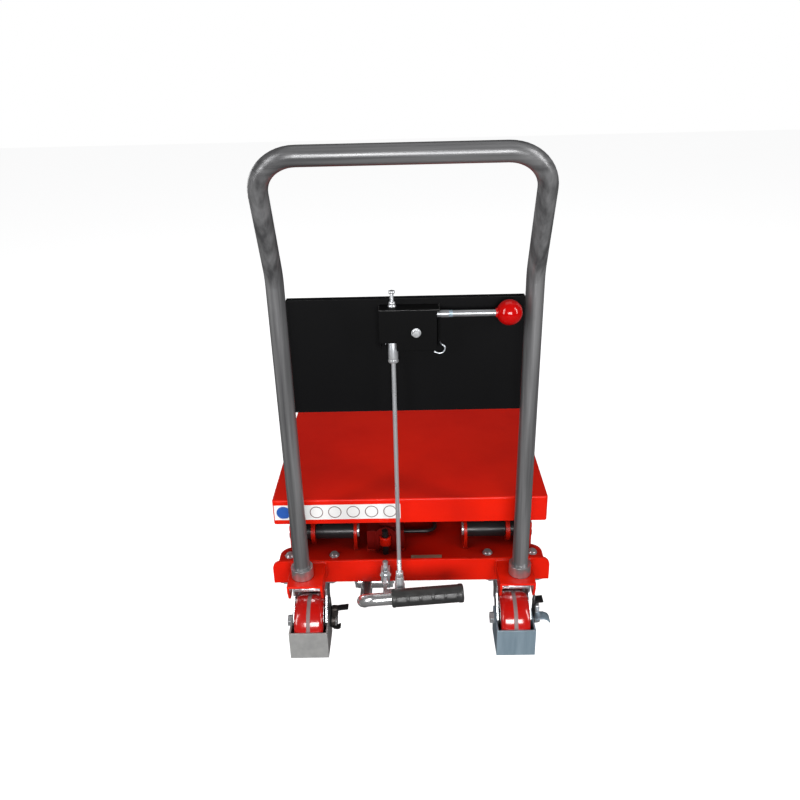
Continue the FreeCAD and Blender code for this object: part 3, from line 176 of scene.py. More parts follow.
def grainGroup():
    # fine and broad variation of a surface, both from 0 to 1
    group, given, made = newGroup("surfaceGrain", [("Fine", 200.0), ("Broad", 12.0)],
                                  [("Fine", "NodeSocketFloat"), ("Broad", "NodeSocketFloat")])
    for label, detail in (("Fine", 3.0), ("Broad", 5.0)):
        noise = addNode(group, "ShaderNodeTexNoise")
        noise.inputs["Detail"].default_value = detail
        spread = addRange(group, "From", 0.32, 0.68)
        group.links.new(given.outputs["Vector"], noise.inputs["Vector"])
        group.links.new(given.outputs[label], noise.inputs["Scale"])
        group.links.new(noise.outputs[0], spread.inputs["Value"])
        group.links.new(spread.outputs[0], made.inputs[label])
    return group


def edgeGroup():
    # rounded corners for the light, and a mask of the corners that wear; on the release box the same mask
    # carries a painted highlight along the top edges
    group, given, made = newGroup("edgeWearAndHighlight", [("Radius", 0.001), ("Gain", 1.0)],
                                  [("Mask", "NodeSocketFloat"), ("Normal", "NodeSocketVector")])
    bevel = addNode(group, "ShaderNodeBevel", samples=4)
    shape = addNode(group, "ShaderNodeNewGeometry")
    dot = addNode(group, "ShaderNodeVectorMath", operation="DOT_PRODUCT")
    spread = addRange(group, "From", 0.98, 0.80)
    noise = addNode(group, "ShaderNodeTexNoise")
    noise.inputs["Scale"].default_value = 90.0
    group.links.new(given.outputs["Radius"], bevel.inputs["Radius"])
    group.links.new(given.outputs["Vector"], noise.inputs["Vector"])
    group.links.new(bevel.outputs[0], dot.inputs[0])
    group.links.new(shape.outputs["Normal"], dot.inputs[1])
    group.links.new(dot.outputs["Value"], spread.inputs["Value"])
    wearAndHighlight = multiplied(group, spread.outputs[0], noise.outputs[0])
    strong = multiplied(group, wearAndHighlight, given.outputs["Gain"], use_clamp=True)
    group.links.new(strong, made.inputs["Mask"])
    group.links.new(bevel.outputs[0], made.inputs["Normal"])
    return group


def dustGroup():
    # settled dust: more on faces that look up, broken up by noise
    group, given, made = newGroup("settledDust", [("Amount", 0.1), ("Scale", 25.0)],
                                  [("Mask", "NodeSocketFloat")])
    shape = addNode(group, "ShaderNodeNewGeometry")
    split = addNode(group, "ShaderNodeSeparateXYZ")
    noise = addNode(group, "ShaderNodeTexNoise")
    noise.inputs["Detail"].default_value = 6.0
    upward = addRange(group, "From", 0.2, 1.0)
    group.links.new(shape.outputs["Normal"], split.inputs[0])
    group.links.new(split.outputs["Z"], upward.inputs["Value"])
    group.links.new(given.outputs["Vector"], noise.inputs["Vector"])
    group.links.new(given.outputs["Scale"], noise.inputs["Scale"])
    both = multiplied(group, upward.outputs[0], noise.outputs[0])
    group.links.new(multiplied(group, both, given.outputs["Amount"]), made.inputs["Mask"])
    return group


def paintedShadeGroup():
    # painted shade: how much nearby parts cover a spot, which darkens its colour as if in their shade, broken
    # up by noise
    group, given, made = newGroup("paintedShade", [("Reach", 0.1), ("Amount", 0.5)], [("Mask", "NodeSocketFloat")])
    cover = addNode(group, "ShaderNodeAmbientOcclusion", samples=6)
    noise = addNode(group, "ShaderNodeTexNoise")
    noise.inputs["Scale"].default_value = 14.0
    closed = addRange(group, "From", 0.70, 0.38)
    broken = addRange(group, "To", 0.75, 1.0)
    group.links.new(given.outputs["Reach"], cover.inputs["Distance"])
    group.links.new(cover.outputs["AO"], closed.inputs["Value"])
    group.links.new(given.outputs["Vector"], noise.inputs["Vector"])
    group.links.new(noise.outputs[0], broken.inputs["Value"])
    both = multiplied(group, closed.outputs[0], broken.outputs[0])
    group.links.new(multiplied(group, both, given.outputs["Amount"]), made.inputs["Mask"])
    return group


surfaceGrain, edgeWearAndHighlight, settledDust, paintedShade = grainGroup(), edgeGroup(), dustGroup(), paintedShadeGroup()
plainLook = {
    "base": (0.5, 0.5, 0.5), "shade": (0.4, 0.4, 0.4), "edge": (0.6, 0.6, 0.6), "dust": (0.30, 0.27, 0.24),
    "edgeRadius": 1.0, "edgeGain": 0.6, "dustAmount": 0.05, "rough": (0.3, 0.42), "metal": 0.0, "coat": 0.0,
    "coatRough": 0.08, "fine": 220.0, "broad": 9.0, "bump": 0.02, "stretch": (1, 1, 1), "specular": 0.5,
    # painted shade under nearby parts (colour, reach, amount) and a painted highlight on upward edges, both
    # off by default
    "paintedShadeColour": (0.02, 0.001, 0.0005), "paintedShadeReach": 0.14, "paintedShadeAmount": 0.0, "paintedTopHighlight": False,
}
looks = {
    # redPaint darkens with painted shade where nearby parts cover it, as under the platform
    "redPaint": {"base": (0.8, 0.0125, 0.0015), "shade": (0.71, 0.0085, 0.001), "edge": (0.86, 0.035, 0.01),
                 "rough": (0.28, 0.38), "specular": 0.28, "bump": 0.03, "fine": 330.0, "edgeRadius": 1.6,
                 "edgeGain": 0.5, "dustAmount": 0.008, "paintedShadeAmount": 0.85},
    # red paint darkened to stand in for the shade under the platform: painted shade on the pump body
    "redInPaintedShade": {"base": (0.15, 0.003, 0.002), "shade": (0.1, 0.002, 0.0015), "edge": (0.3, 0.01, 0.005),
                "rough": (0.34, 0.5), "specular": 0.2, "bump": 0.05, "fine": 300.0, "dustAmount": 0.02},
    "blackPaint": {"base": (0.0045, 0.0045, 0.0048), "shade": (0.0032, 0.0032, 0.0035),
                   "edge": (0.05, 0.05, 0.05), "rough": (0.42, 0.52), "bump": 0.03, "fine": 420.0,
                   "edgeRadius": 1.1, "edgeGain": 1.4, "dustAmount": 0.004, "specular": 0.06},
    # the box's pale edge colour is a painted highlight along its top edges
    "boxPaint": {"base": (0.0038, 0.0038, 0.004), "shade": (0.0028, 0.0028, 0.003), "edge": (0.2, 0.2, 0.2),
                 "rough": (0.4, 0.5), "bump": 0.03, "fine": 420.0, "edgeRadius": 1.5, "edgeGain": 2.4,
                 "paintedTopHighlight": True, "dustAmount": 0.004, "specular": 0.06},
    "leverSteel": {"base": (0.46, 0.47, 0.48), "shade": (0.36, 0.37, 0.385), "edge": (0.6, 0.6, 0.6),
                   "metal": 0.75, "rough": (0.3, 0.4), "broad": 30.0, "fine": 700.0, "bump": 0.008,
                   "edgeRadius": 0.5},
    "collarSteel": {"base": (0.62, 0.62, 0.62), "shade": (0.44, 0.44, 0.45), "edge": (0.85, 0.85, 0.85),
                    "metal": 0.9, "rough": (0.26, 0.4), "broad": 40.0, "fine": 600.0, "bump": 0.006,
                    "edgeRadius": 0.8},
    "zinc": {"base": (0.74, 0.75, 0.76), "shade": (0.58, 0.6, 0.63), "edge": (0.88, 0.89, 0.9),
             "metal": 0.72, "rough": (0.24, 0.4), "broad": 38.0, "fine": 500.0, "bump": 0.012,
             "edgeRadius": 0.5, "edgeGain": 1.0, "dustAmount": 0.04},
    "brightZinc": {"base": (0.8, 0.82, 0.84), "shade": (0.66, 0.7, 0.75), "edge": (0.92, 0.93, 0.94),
                   "metal": 0.85, "rough": (0.22, 0.34), "broad": 26.0, "fine": 420.0, "bump": 0.01,
                   "edgeRadius": 0.8},
    "greyZinc": {"base": (0.44, 0.44, 0.43), "shade": (0.35, 0.35, 0.345), "edge": (0.66, 0.66, 0.64),
                 "metal": 0.35, "rough": (0.42, 0.58), "broad": 60.0, "fine": 520.0, "bump": 0.02,
                 "edgeRadius": 0.9, "edgeGain": 1.3},
    "blueZinc": {"base": (0.36, 0.47, 0.55), "shade": (0.25, 0.34, 0.41), "edge": (0.66, 0.76, 0.82),
                 "metal": 0.45, "rough": (0.32, 0.5), "broad": 70.0, "fine": 480.0, "bump": 0.015,
                 "edgeRadius": 0.9, "edgeGain": 1.3, "stretch": (1, 1, 0.12)},
    "steel": {"base": (0.46, 0.46, 0.47), "shade": (0.34, 0.34, 0.35), "edge": (0.7, 0.7, 0.7),
              "metal": 1.0, "rough": (0.26, 0.4), "broad": 30.0, "fine": 700.0, "bump": 0.008,
              "edgeRadius": 0.6},
    "chrome": {"base": (0.86, 0.86, 0.86), "shade": (0.74, 0.74, 0.75), "edge": (0.94, 0.94, 0.94),
               "metal": 0.88, "rough": (0.16, 0.27), "broad": 34.0, "fine": 650.0, "bump": 0.004,
               "edgeRadius": 0.8, "edgeGain": 0.4, "dustAmount": 0.02},
    "blackOxide": {"base": (0.022, 0.022, 0.024), "shade": (0.012, 0.012, 0.013),
                   "edge": (0.12, 0.12, 0.12), "metal": 0.4, "rough": (0.26, 0.4), "broad": 30.0,
                   "bump": 0.012, "edgeRadius": 0.7},
    "rubber": {"base": (0.022, 0.022, 0.022), "shade": (0.034, 0.034, 0.034), "edge": (0.09, 0.09, 0.09),
               "rough": (0.28, 0.42), "fine": 900.0, "broad": 60.0, "bump": 0.1, "edgeRadius": 0.6,
               "dustAmount": 0.06},
    "redBall": {"base": (0.5, 0.002, 0.0015), "shade": (0.45, 0.0015, 0.001), "edge": (0.66, 0.01, 0.01),
                "rough": (0.1, 0.17), "coat": 0.6, "coatRough": 0.03, "specular": 0.15, "bump": 0.003,
                "edgeGain": 0.1, "dustAmount": 0.01},
    "redTread": {"base": (0.52, 0.004, 0.002), "shade": (0.42, 0.003, 0.0015), "edge": (0.6, 0.02, 0.015),
                 "rough": (0.14, 0.26), "coat": 0.8, "coatRough": 0.05, "fine": 180.0, "bump": 0.015,
                 "edgeGain": 0.3, "dustAmount": 0.04},
    "treadBand": {"base": (0.24, 0.165, 0.165), "shade": (0.18, 0.12, 0.12), "edge": (0.26, 0.2, 0.2),
                  "rough": (0.45, 0.6), "fine": 260.0, "bump": 0.04, "edgeGain": 0.2},
    "castCore": {"base": (0.1, 0.095, 0.095), "shade": (0.06, 0.058, 0.058), "edge": (0.2, 0.2, 0.2),
                 "rough": (0.45, 0.62), "metal": 0.3, "fine": 300.0, "bump": 0.08, "edgeRadius": 1.0},
    "brownOxide": {"base": (0.085, 0.072, 0.066), "shade": (0.045, 0.04, 0.038), "edge": (0.25, 0.23, 0.22),
                   "metal": 0.6, "rough": (0.35, 0.5), "broad": 45.0, "bump": 0.02},
    "labelWhite": {"base": (0.86, 0.86, 0.85), "shade": (0.8, 0.8, 0.79), "edge": (0.9, 0.9, 0.9),
                   "rough": (0.34, 0.42), "bump": 0.004, "edgeGain": 0.1, "edgeRadius": 0.1},
    "labelGrey": {"base": (0.2, 0.13, 0.13), "shade": (0.16, 0.1, 0.1), "edge": (0.2, 0.14, 0.14),
                  "rough": (0.34, 0.42), "bump": 0.004, "edgeGain": 0.1, "edgeRadius": 0.1},
    "labelBlue": {"base": (0.02, 0.1, 0.42), "shade": (0.018, 0.085, 0.36), "edge": (0.03, 0.12, 0.45),
                  "rough": (0.34, 0.42), "bump": 0.004, "edgeGain": 0.1, "edgeRadius": 0.1},
    "platePale": {"base": (0.72, 0.58, 0.42), "shade": (0.64, 0.5, 0.36), "edge": (0.9, 0.85, 0.7),
                  "metal": 0.5, "rough": (0.3, 0.4), "bump": 0.006, "edgeRadius": 0.3},
}


def useGroup(tree, group, vector, **numbers):
    node = addNode(tree, "ShaderNodeGroup", node_tree=group)
    for label, value in numbers.items():
        node.inputs[label].default_value = value
    tree.links.new(vector, node.inputs["Vector"])
    return node


def blendColour(tree, mask, first, second):
    # first is a colour or an output, second a colour
    mix = addNode(tree, "ShaderNodeMix", data_type="RGBA")
    tree.links.new(mask, mix.inputs[0])
    if isinstance(first, tuple):
        mix.inputs[6].default_value = (*first, 1)
    else:
        tree.links.new(first, mix.inputs[6])
    mix.inputs[7].default_value = (*second, 1)
    return mix.outputs[2]


def startFinish(name):
    paint = bpy.data.materials.new(name)
    paint.use_nodes = True
    tree = paint.node_tree
    return paint, tree, tree.nodes["Principled BSDF"], addNode(tree, "ShaderNodeTexCoord").outputs["Object"]


def stretched(tree, spot, scale):
    turned = addNode(tree, "ShaderNodeMapping")
    turned.inputs["Scale"].default_value = scale
    tree.links.new(spot, turned.inputs["Vector"])
    return turned.outputs[0]


def setSurface(tree, shader, look, roughFrom, bumpFrom, strength, normal=None):
    rough = addRange(tree, "To", *look["rough"])
    tree.links.new(roughFrom, rough.inputs["Value"])
    tree.links.new(rough.outputs[0], shader.inputs["Roughness"])
    bump = addNode(tree, "ShaderNodeBump")
    bump.inputs["Strength"].default_value = strength
    bump.inputs["Distance"].default_value = look["bump"] * mm
    tree.links.new(bumpFrom, bump.inputs["Height"])
    if normal:
        tree.links.new(normal, bump.inputs["Normal"])
    tree.links.new(bump.outputs[0], shader.inputs["Normal"])
    shader.inputs["Metallic"].default_value = look["metal"]


def makeFinish(name, look):
    look = {**plainLook, **look}
    paint, tree, shader, spot = startFinish(name)
    grain = useGroup(tree, surfaceGrain, stretched(tree, spot, look["stretch"]), Fine=look["fine"],
                     Broad=look["broad"])
    edges = useGroup(tree, edgeWearAndHighlight, spot, Radius=look["edgeRadius"] * mm, Gain=look["edgeGain"])
    dust = useGroup(tree, settledDust, spot, Amount=look["dustAmount"])
    colour = blendColour(tree, grain.outputs["Broad"], look["base"], look["shade"])
    # painted shade: the colour is blended towards a near-black red where nearby parts cover the surface
    if look["paintedShadeAmount"]:
        paintedShadeMask = useGroup(tree, paintedShade, spot, Reach=look["paintedShadeReach"], Amount=look["paintedShadeAmount"])
        colour = blendColour(tree, paintedShadeMask.outputs["Mask"], colour, look["paintedShadeColour"])
    wearAndHighlight = edges.outputs["Mask"]
    # painted highlight: the pale edge colour kept only on edges whose rounded normal faces up, where the
    # light falls
    if look["paintedTopHighlight"]:
        height = addNode(tree, "ShaderNodeSeparateXYZ")
        upward = addRange(tree, "From", 0.25, 0.55)
        tree.links.new(edges.outputs["Normal"], height.inputs[0])
        tree.links.new(height.outputs["Z"], upward.inputs["Value"])
        wearAndHighlight = multiplied(tree, upward.outputs[0], wearAndHighlight)
    colour = blendColour(tree, wearAndHighlight, colour, look["edge"])
    colour = blendColour(tree, dust.outputs["Mask"], colour, look["dust"])
    tree.links.new(colour, shader.inputs["Base Color"])
    setSurface(tree, shader, look, grain.outputs["Broad"], grain.outputs["Fine"], 0.6,
               edges.outputs["Normal"])
    shader.inputs["Specular IOR Level"].default_value = look["specular"]
    shader.inputs["Coat Weight"].default_value = look["coat"]
    shader.inputs["Coat Roughness"].default_value = look["coatRough"]
    return paint


tubeLook = {"dark": (0.10, 0.10, 0.103), "bright": (0.29, 0.29, 0.295), "streakFine": 340.0,
            "streakBroad": 90.0, "along": 0.02, "metal": 0.55, "rough": (0.28, 0.42), "barFrom": 0.885,
            "barTo": 0.905, "bump": 0.010}


def makeTubeFinish(name, look):
    # drawn and polished tube: long streaks that follow the uprights, then the grip bar
    paint, tree, shader, spot = startFinish(name)
    height = addNode(tree, "ShaderNodeSeparateXYZ")
    tree.links.new(spot, height.inputs[0])
    onBar = addRange(tree, "From", look["barFrom"], look["barTo"])
    tree.links.new(height.outputs["Z"], onBar.inputs["Value"])
    streaks = [useGroup(tree, surfaceGrain, stretched(tree, spot, scale), Fine=look["streakFine"],
                        Broad=look["streakBroad"])
               for scale in ((1, 1, look["along"]), (look["along"], 1, 1))]
    picked = []
    for label in ("Fine", "Broad"):
        mix = addNode(tree, "ShaderNodeMix", data_type="FLOAT")
        tree.links.new(onBar.outputs[0], mix.inputs[0])
        tree.links.new(streaks[0].outputs[label], mix.inputs[2])
        tree.links.new(streaks[1].outputs[label], mix.inputs[3])
        picked.append(mix.outputs[0])
    fine, broad = picked
    tree.links.new(blendColour(tree, broad, look["dark"], look["bright"]), shader.inputs["Base Color"])
    setSurface(tree, shader, look, fine, fine, 0.5)
    return paint


finishes = {name: makeFinish(name, look) for name, look in looks.items()}
finishes["tubeSteel"] = makeTubeFinish("tubeSteel", tubeLook)
slotFinish = {"red_paint": "redPaint", "black_paint": "blackPaint", "handle_steel": "tubeSteel",
              "zinc": "zinc", "steel": "steel", "chrome": "chrome", "black_oxide": "blackOxide",
              "rubber": "rubber", "red_plastic": "redBall", "red_tread": "redTread",
              "wheel_core": "castCore"}
# the pump body takes red paint darkened as painted shade
nodeFinish = {"release_box": "boxPaint", "pump_body": "redInPaintedShade", "handle_collars": "collarSteel",
              "hand_lever": "leverSteel", "swivel_fork_left": "brightZinc",
              "swivel_fork_right": "brightZinc", "front_forks": "brightZinc",
              "foot_guard_left": "greyZinc", "foot_guard_right": "blueZinc", "caster_plates": "brightZinc"}
for name, node in nodes.items():
    for part in node.material_slots:
        known = part.material.name.split(".")[0] if part.material else ""
        part.material = finishes[nodeFinish.get(name, slotFinish.get(known, "steel"))]
print("finishes made:", len(finishes))

# Shapes from which the pieces are made


def spun(profile, steps=48, closed=False):
    # profile of (radius, along Z) turned about Z
    shape = bmesh.new()
    verts = [shape.verts.new((radius * mm, 0, along * mm)) for radius, along in profile]
    pairs = list(zip(verts, verts[1:])) + ([(verts[-1], verts[0])] if closed else [])
    edges = [shape.edges.new(pair) for pair in pairs]
    bmesh.ops.spin(shape, geom=verts + edges, cent=(0, 0, 0), axis=(0, 0, 1), angle=math.tau, steps=steps,
                   use_merge=True)
    bmesh.ops.remove_doubles(shape, verts=shape.verts, dist=1e-7)
    bmesh.ops.recalc_face_normals(shape, faces=shape.faces)
    return shape


def softened(shape, offset, segments=2, angle=30):
    sharp = [edge for edge in shape.edges if edge.calc_face_angle(0) > math.radians(angle)]
    bmesh.ops.bevel(shape, geom=sharp, offset=offset * mm, offset_type="OFFSET", segments=segments,
                    profile=0.5, affect="EDGES", material=-1)
    return shape


def block(size, place=(0, 0, 0), round=0.0, segments=2):
    shape = bmesh.new()
    bmesh.ops.create_cube(shape, size=1.0)
    bmesh.ops.scale(shape, vec=[part * mm for part in size], verts=shape.verts)
    if round:
        softened(shape, round, segments)
    bmesh.ops.translate(shape, vec=[part * mm for part in place], verts=shape.verts)
    return shape


def hexagonal(flats, low, high, chamfer=0.8):
    shape = bmesh.new()
    radius = flats / 2 / math.cos(math.pi / 6) * mm
    bmesh.ops.create_cone(shape, cap_ends=True, segments=6, radius1=radius, radius2=radius,
                          depth=(high - low) * mm)
    bmesh.ops.translate(shape, vec=(0, 0, (low + high) / 2 * mm), verts=shape.verts)
    return softened(shape, chamfer, 1)


def plated(outline, thickness):
    # an outline in XY with a thickness up Z
    shape = bmesh.new()
    face = shape.faces.new([shape.verts.new((x * mm, y * mm, 0)) for x, y in outline])
    grown = bmesh.ops.extrude_face_region(shape, geom=[face])
    bmesh.ops.translate(shape, vec=(0, 0, thickness * mm),
                        verts=[part for part in grown["geom"] if isinstance(part, bmesh.types.BMVert)])
    bmesh.ops.recalc_face_normals(shape, faces=shape.faces)
    return shape


def bentStrip(path, width, thickness, round=0.6):
    # a sheet that follows a path in XZ, as wide as width along Y
    shape = bmesh.new()
    verts = [shape.verts.new((x * mm, -width / 2 * mm, z * mm)) for x, z in path]
    edges = [shape.edges.new(pair) for pair in zip(verts, verts[1:])]
    grown = bmesh.ops.extrude_edge_only(shape, edges=edges)
    bmesh.ops.translate(shape, vec=(0, width * mm, 0),
                        verts=[part for part in grown["geom"] if isinstance(part, bmesh.types.BMVert)])
    bmesh.ops.solidify(shape, geom=shape.faces[:], thickness=thickness * mm)
    bmesh.ops.recalc_face_normals(shape, faces=shape.faces)
    return softened(shape, round, 2, 50)


def stood(shape, place, way=(0, 0, 1)):
    # turns Z to a direction and moves the shape, place in millimetres
    turn = Vector((0, 0, 1)).rotation_difference(Vector(way)).to_matrix().to_4x4()
    bmesh.ops.transform(shape, matrix=Matrix.Translation(Vector(place) * mm) @ turn, verts=shape.verts)
    return shape


def joined(*shapes):
    whole = bmesh.new()
    for shape in shapes:
        spare = bpy.data.meshes.new("spare")
        shape.to_mesh(spare)
        whole.from_mesh(spare)
        bpy.data.meshes.remove(spare)
        shape.free()
    return whole


def painted(shape, index, test=None):
    for face in shape.faces:
        if test is None or test(face):
            face.material_index = index
    return shape


def wire(points, radius, order=3):
    # a round wire along a NURBS line, as a shape
    curve = bpy.data.curves.new("wire", "CURVE")
    curve.dimensions = "3D"
    curve.bevel_depth = radius * mm
    curve.bevel_resolution = 4
    curve.use_fill_caps = True
    line = curve.splines.new("NURBS")
    line.points.add(len(points) - 1)
    for spot, place in zip(line.points, points):
        spot.co = (*(part * mm for part in place), 1)
    line.order_u = order
    line.use_endpoint_u = True
    line.resolution_u = 12
    holder = bpy.data.objects.new("wire", curve)
    mesh = bpy.data.meshes.new_from_object(holder)
    shape = bmesh.new()
    shape.from_mesh(mesh)
    bmesh.ops.remove_doubles(shape, verts=shape.verts, dist=1e-7)
    bmesh.ops.recalc_face_normals(shape, faces=shape.faces)
    bpy.data.objects.remove(holder)
    bpy.data.meshes.remove(mesh)
    bpy.data.curves.remove(curve)
    return shape


def piece(name, shape, body, slot, *paints, smooth=38, replaces=()):
    mesh = bpy.data.meshes.new(name)
    shape.to_mesh(mesh)
    shape.free()
    for paint in paints:
        mesh.materials.append(finishes[paint])
    mesh.shade_smooth()
    mesh.set_sharp_from_angle(angle=math.radians(smooth))
    made = bpy.data.objects.new(name, mesh)
    bpy.context.collection.objects.link(made)
    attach(made, body)
    if replaces:
        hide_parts(*replaces)
    return made


def centreOf(node):
    low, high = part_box(node)
    return (low + high) / 2 / mm


def threads(radius, low, high, pitch=1.25, depth=0.6):
    # ring profile of a screw thread, from low to high
    points = [(0, low)]
    along = low
    while along < high - pitch:
        points += [(radius - depth, along), (radius, along + pitch / 2)]
        along += pitch
    return points + [(radius - depth, along), (0, along)]


# Wheels: a moulded tread with a parting band, and a cast core with ribs

treadSet = {
    "half": [(33, -27), (43.6, -27), (46.2, -26.0), (48.0, -23.3), (49.2, -19.0), (49.8, -13), (50, -7),
             (50, -3.6), (49.55, -3.3)],  # profile from one side to the band, mirrored
    "band": 3.5, "bandInner": 40, "steps": 96,
}
coreSet = {
    "half": [(6.1, -28), (10, -28), (10.6, -27.2), (12.8, -27.2), (13.2, -26.6), (14.6, -10), (16.5, -8.6),
             (26, -8.6), (27.4, -10), (28, -23.5), (29, -25), (33, -25)],
    "ribs": 8, "rib": (11.5, 3.2, 11), "ribOut": 21, "ribSide": 13.5, "ribRound": 0.8, "steps": 72,
}


def mirroredLine(line):
    return line + [(radius, -along) for radius, along in reversed(line)]


def onBand(face):
    middle = face.calc_center_median()
    return abs(middle.z) < treadSet["band"] * mm and middle.xy.length > treadSet["bandInner"] * mm


for end in ("rear", "front"):
    for word in ("left", "right"):
        middle = centreOf(f"{end}_wheel_{word}_tread")
        tread = painted(spun(mirroredLine(treadSet["half"]), treadSet["steps"], True), 1, onBand)
        piece(f"{end}_tread_{word}", stood(tread, middle, (1, 0, 0)), f"{end}_wheel_{word}", "red_tread",
              "redTread", "treadBand", replaces=[f"{end}_wheel_{word}_tread"])
        parts = [spun(mirroredLine(coreSet["half"]), coreSet["steps"], True)]
        for number in range(coreSet["ribs"]):
            for side in (-1, 1):
                spot = (coreSet["ribOut"], 0, side * coreSet["ribSide"])
                rib = block(coreSet["rib"], spot, coreSet["ribRound"])
                bmesh.ops.rotate(rib, cent=(0, 0, 0), verts=rib.verts,
                                 matrix=Matrix.Rotation(math.tau * number / coreSet["ribs"], 3, "Z"))
                parts.append(rib)
        piece(f"{end}_core_{word}", stood(joined(*parts), middle, (1, 0, 0)), f"{end}_wheel_{word}",
              "wheel_core", "castCore", replaces=[f"{end}_wheel_{word}_core"])
print("wheels made")

# Brakes: side plate, cam body, and the tabs, which are set differently on the two sides

brakeShared = {
    "plate": [(-13, -6), (-13, 6), (-6, 13), (8, 13), (24, 12), (42, 8), (52, 3), (54, -1), (50, -6),
              (38, -10), (14, -13), (-4, -11)],  # up and back from the axle
    "plateThick": 3.0, "plateRound": 0.7,
    "cam": [(6.2, 0), (11, 0), (11, 6), (9.4, 8), (9.4, 10.5), (6.2, 10.5)],
    "lugRound": 3.0, "thumbThick": 2.6, "thumbRound": 0.9,
}
brakeSet = {
    "left": {"lug": ((12, 15, 20), (9.5, 0, 21)), "lugFinish": "brownOxide", "thumbFinish": "blackOxide",
             "tab": [(9, 24), (15, 26.6), (25, 28.2), (36, 29.4)], "tabWide": 15, "tabThick": 2.6,
             "thumb": [(3, -10), (8, -14), (14, -15), (20, -12)], "thumbWide": 14, "thumbBack": -4},
    "right": {"lug": ((9, 13, 18), (7.5, 0, 22)), "lugFinish": "zinc", "thumbFinish": "blueZinc",
              "tab": [(1.5, 33), (2.5, 38), (6, 40.4), (18, 41.4)], "tabWide": 20, "tabThick": 2.4,
              "thumb": [(3, 10), (8, 13.5), (18, 13.6), (25, 10.5), (28.4, 5.5)], "thumbWide": 22,
              "thumbBack": -14},
}
plateTurn = Matrix(((0, 0, 1, 0), (0, -1, 0, 0), (1, 0, 0, 0), (0, 0, 0, 1)))  # outline X up, outline Y back
for word, how in brakeSet.items():
    how = {**brakeShared, **how}
    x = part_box(f"brake_pedal_{word}")[0].x / mm
    axle = centreOf(f"swivel_axle_{word}")
    plate = softened(plated(how["plate"], how["plateThick"]), how["plateRound"])
    bmesh.ops.transform(plate, matrix=plateTurn, verts=plate.verts)
    bmesh.ops.recalc_face_normals(plate, faces=plate.faces)
    cam = stood(spun(how["cam"], 36, True), (how["plateThick"], 0, 0), (1, 0, 0))
    lug = block(*how["lug"], how["lugRound"], 3)
    tab = bentStrip(how["tab"], how["tabWide"], how["tabThick"])
    thumb = stood(bentStrip(how["thumb"], how["thumbWide"], how["thumbThick"], how["thumbRound"]),
                  (0, how["thumbBack"], 0))
    shape = joined(painted(plate, 0), painted(cam, 1), painted(tab, 0), painted(lug, 1), painted(thumb, 2))
    piece(f"brake_tab_{word}", stood(shape, (x, axle.y, axle.z)), f"brake_{word}", "zinc", "blackOxide",
          how["lugFinish"], how["thumbFinish"], replaces=[f"brake_pedal_{word}"])
print("brakes made")

# Foot pedal's sleeve, with two rows of raised pads and an end ring

sleeveSet = {"start": (-34.0, -436.96, 175.37), "end": (91.0, -431.87, 181.19), "radius": 16.2, "bore": 11.05,
             "steps": 64, "padRows": (-112, 68), "pads": 5, "pad": (7.0, 3.0, 17.5), "padRound": 0.9,
             "padScale": (0.46, 3.4, 1), "padFirst": 18, "padStep": 21.5}
start, end = Vector(sleeveSet["start"]), Vector(sleeveSet["end"])
way, long = (end - start).normalized(), (end - start).length
radius, bore = sleeveSet["radius"], sleeveSet["bore"]
sleeveLine = [(bore, 0), (radius - 2.4, 0), (radius - 0.8, 0.8), (radius - 0.2, 2.6), (radius, 5),
              (radius - 0.6, 6.4), (radius - 0.6, long - 10), (radius + 0.1, long - 8.4),
              (radius + 0.3, long - 3), (radius - 1.2, long - 0.6), (radius - 3.2, long), (0, long),
              (0, long - 4), (bore, long - 4)]
parts = [stood(spun(sleeveLine, sleeveSet["steps"], True), start, way)]
padOut = radius - 1.0
for facing in sleeveSet["padRows"]:
    for number in range(sleeveSet["pads"]):
        spot = (padOut, 0, sleeveSet["padFirst"] + number * sleeveSet["padStep"])
        pad = block(sleeveSet["pad"], spot, sleeveSet["padRound"])
        bmesh.ops.scale(pad, vec=sleeveSet["padScale"], space=Matrix.Translation((-padOut * mm, 0, 0)),
                        verts=pad.verts)
        bmesh.ops.rotate(pad, cent=(0, 0, 0), matrix=Matrix.Rotation(math.radians(facing), 3, "Z"),
                         verts=pad.verts)
        parts.append(stood(pad, start, way))
piece("pedal_grip", joined(*parts), "pedal", "rubber", "rubber", replaces=["pedal_sleeve"])
print("pedal grip made")

# Guide ring in which the pump's plunger slides

guideSet = {"x": -49.0, "y": -261.0, "bore": 6.7, "radius": 11.2, "low": 167.0, "high": 185.0}
bore, radius, low, high = (guideSet[key] for key in ("bore", "radius", "low", "high"))
guide = spun([(bore, low), (radius - 0.8, low), (radius, low + 0.8), (radius, high - 1.4),
              (radius - 1.4, high), (bore + 0.6, high), (bore, high - 0.6)], 40, True)
piece("plunger_guide", stood(guide, (guideSet["x"], guideSet["y"], 0)), "base", "red_paint", "redPaint")
print("plunger guide made")

# Release rod, with its coupler, split pin, threaded fitting and nuts

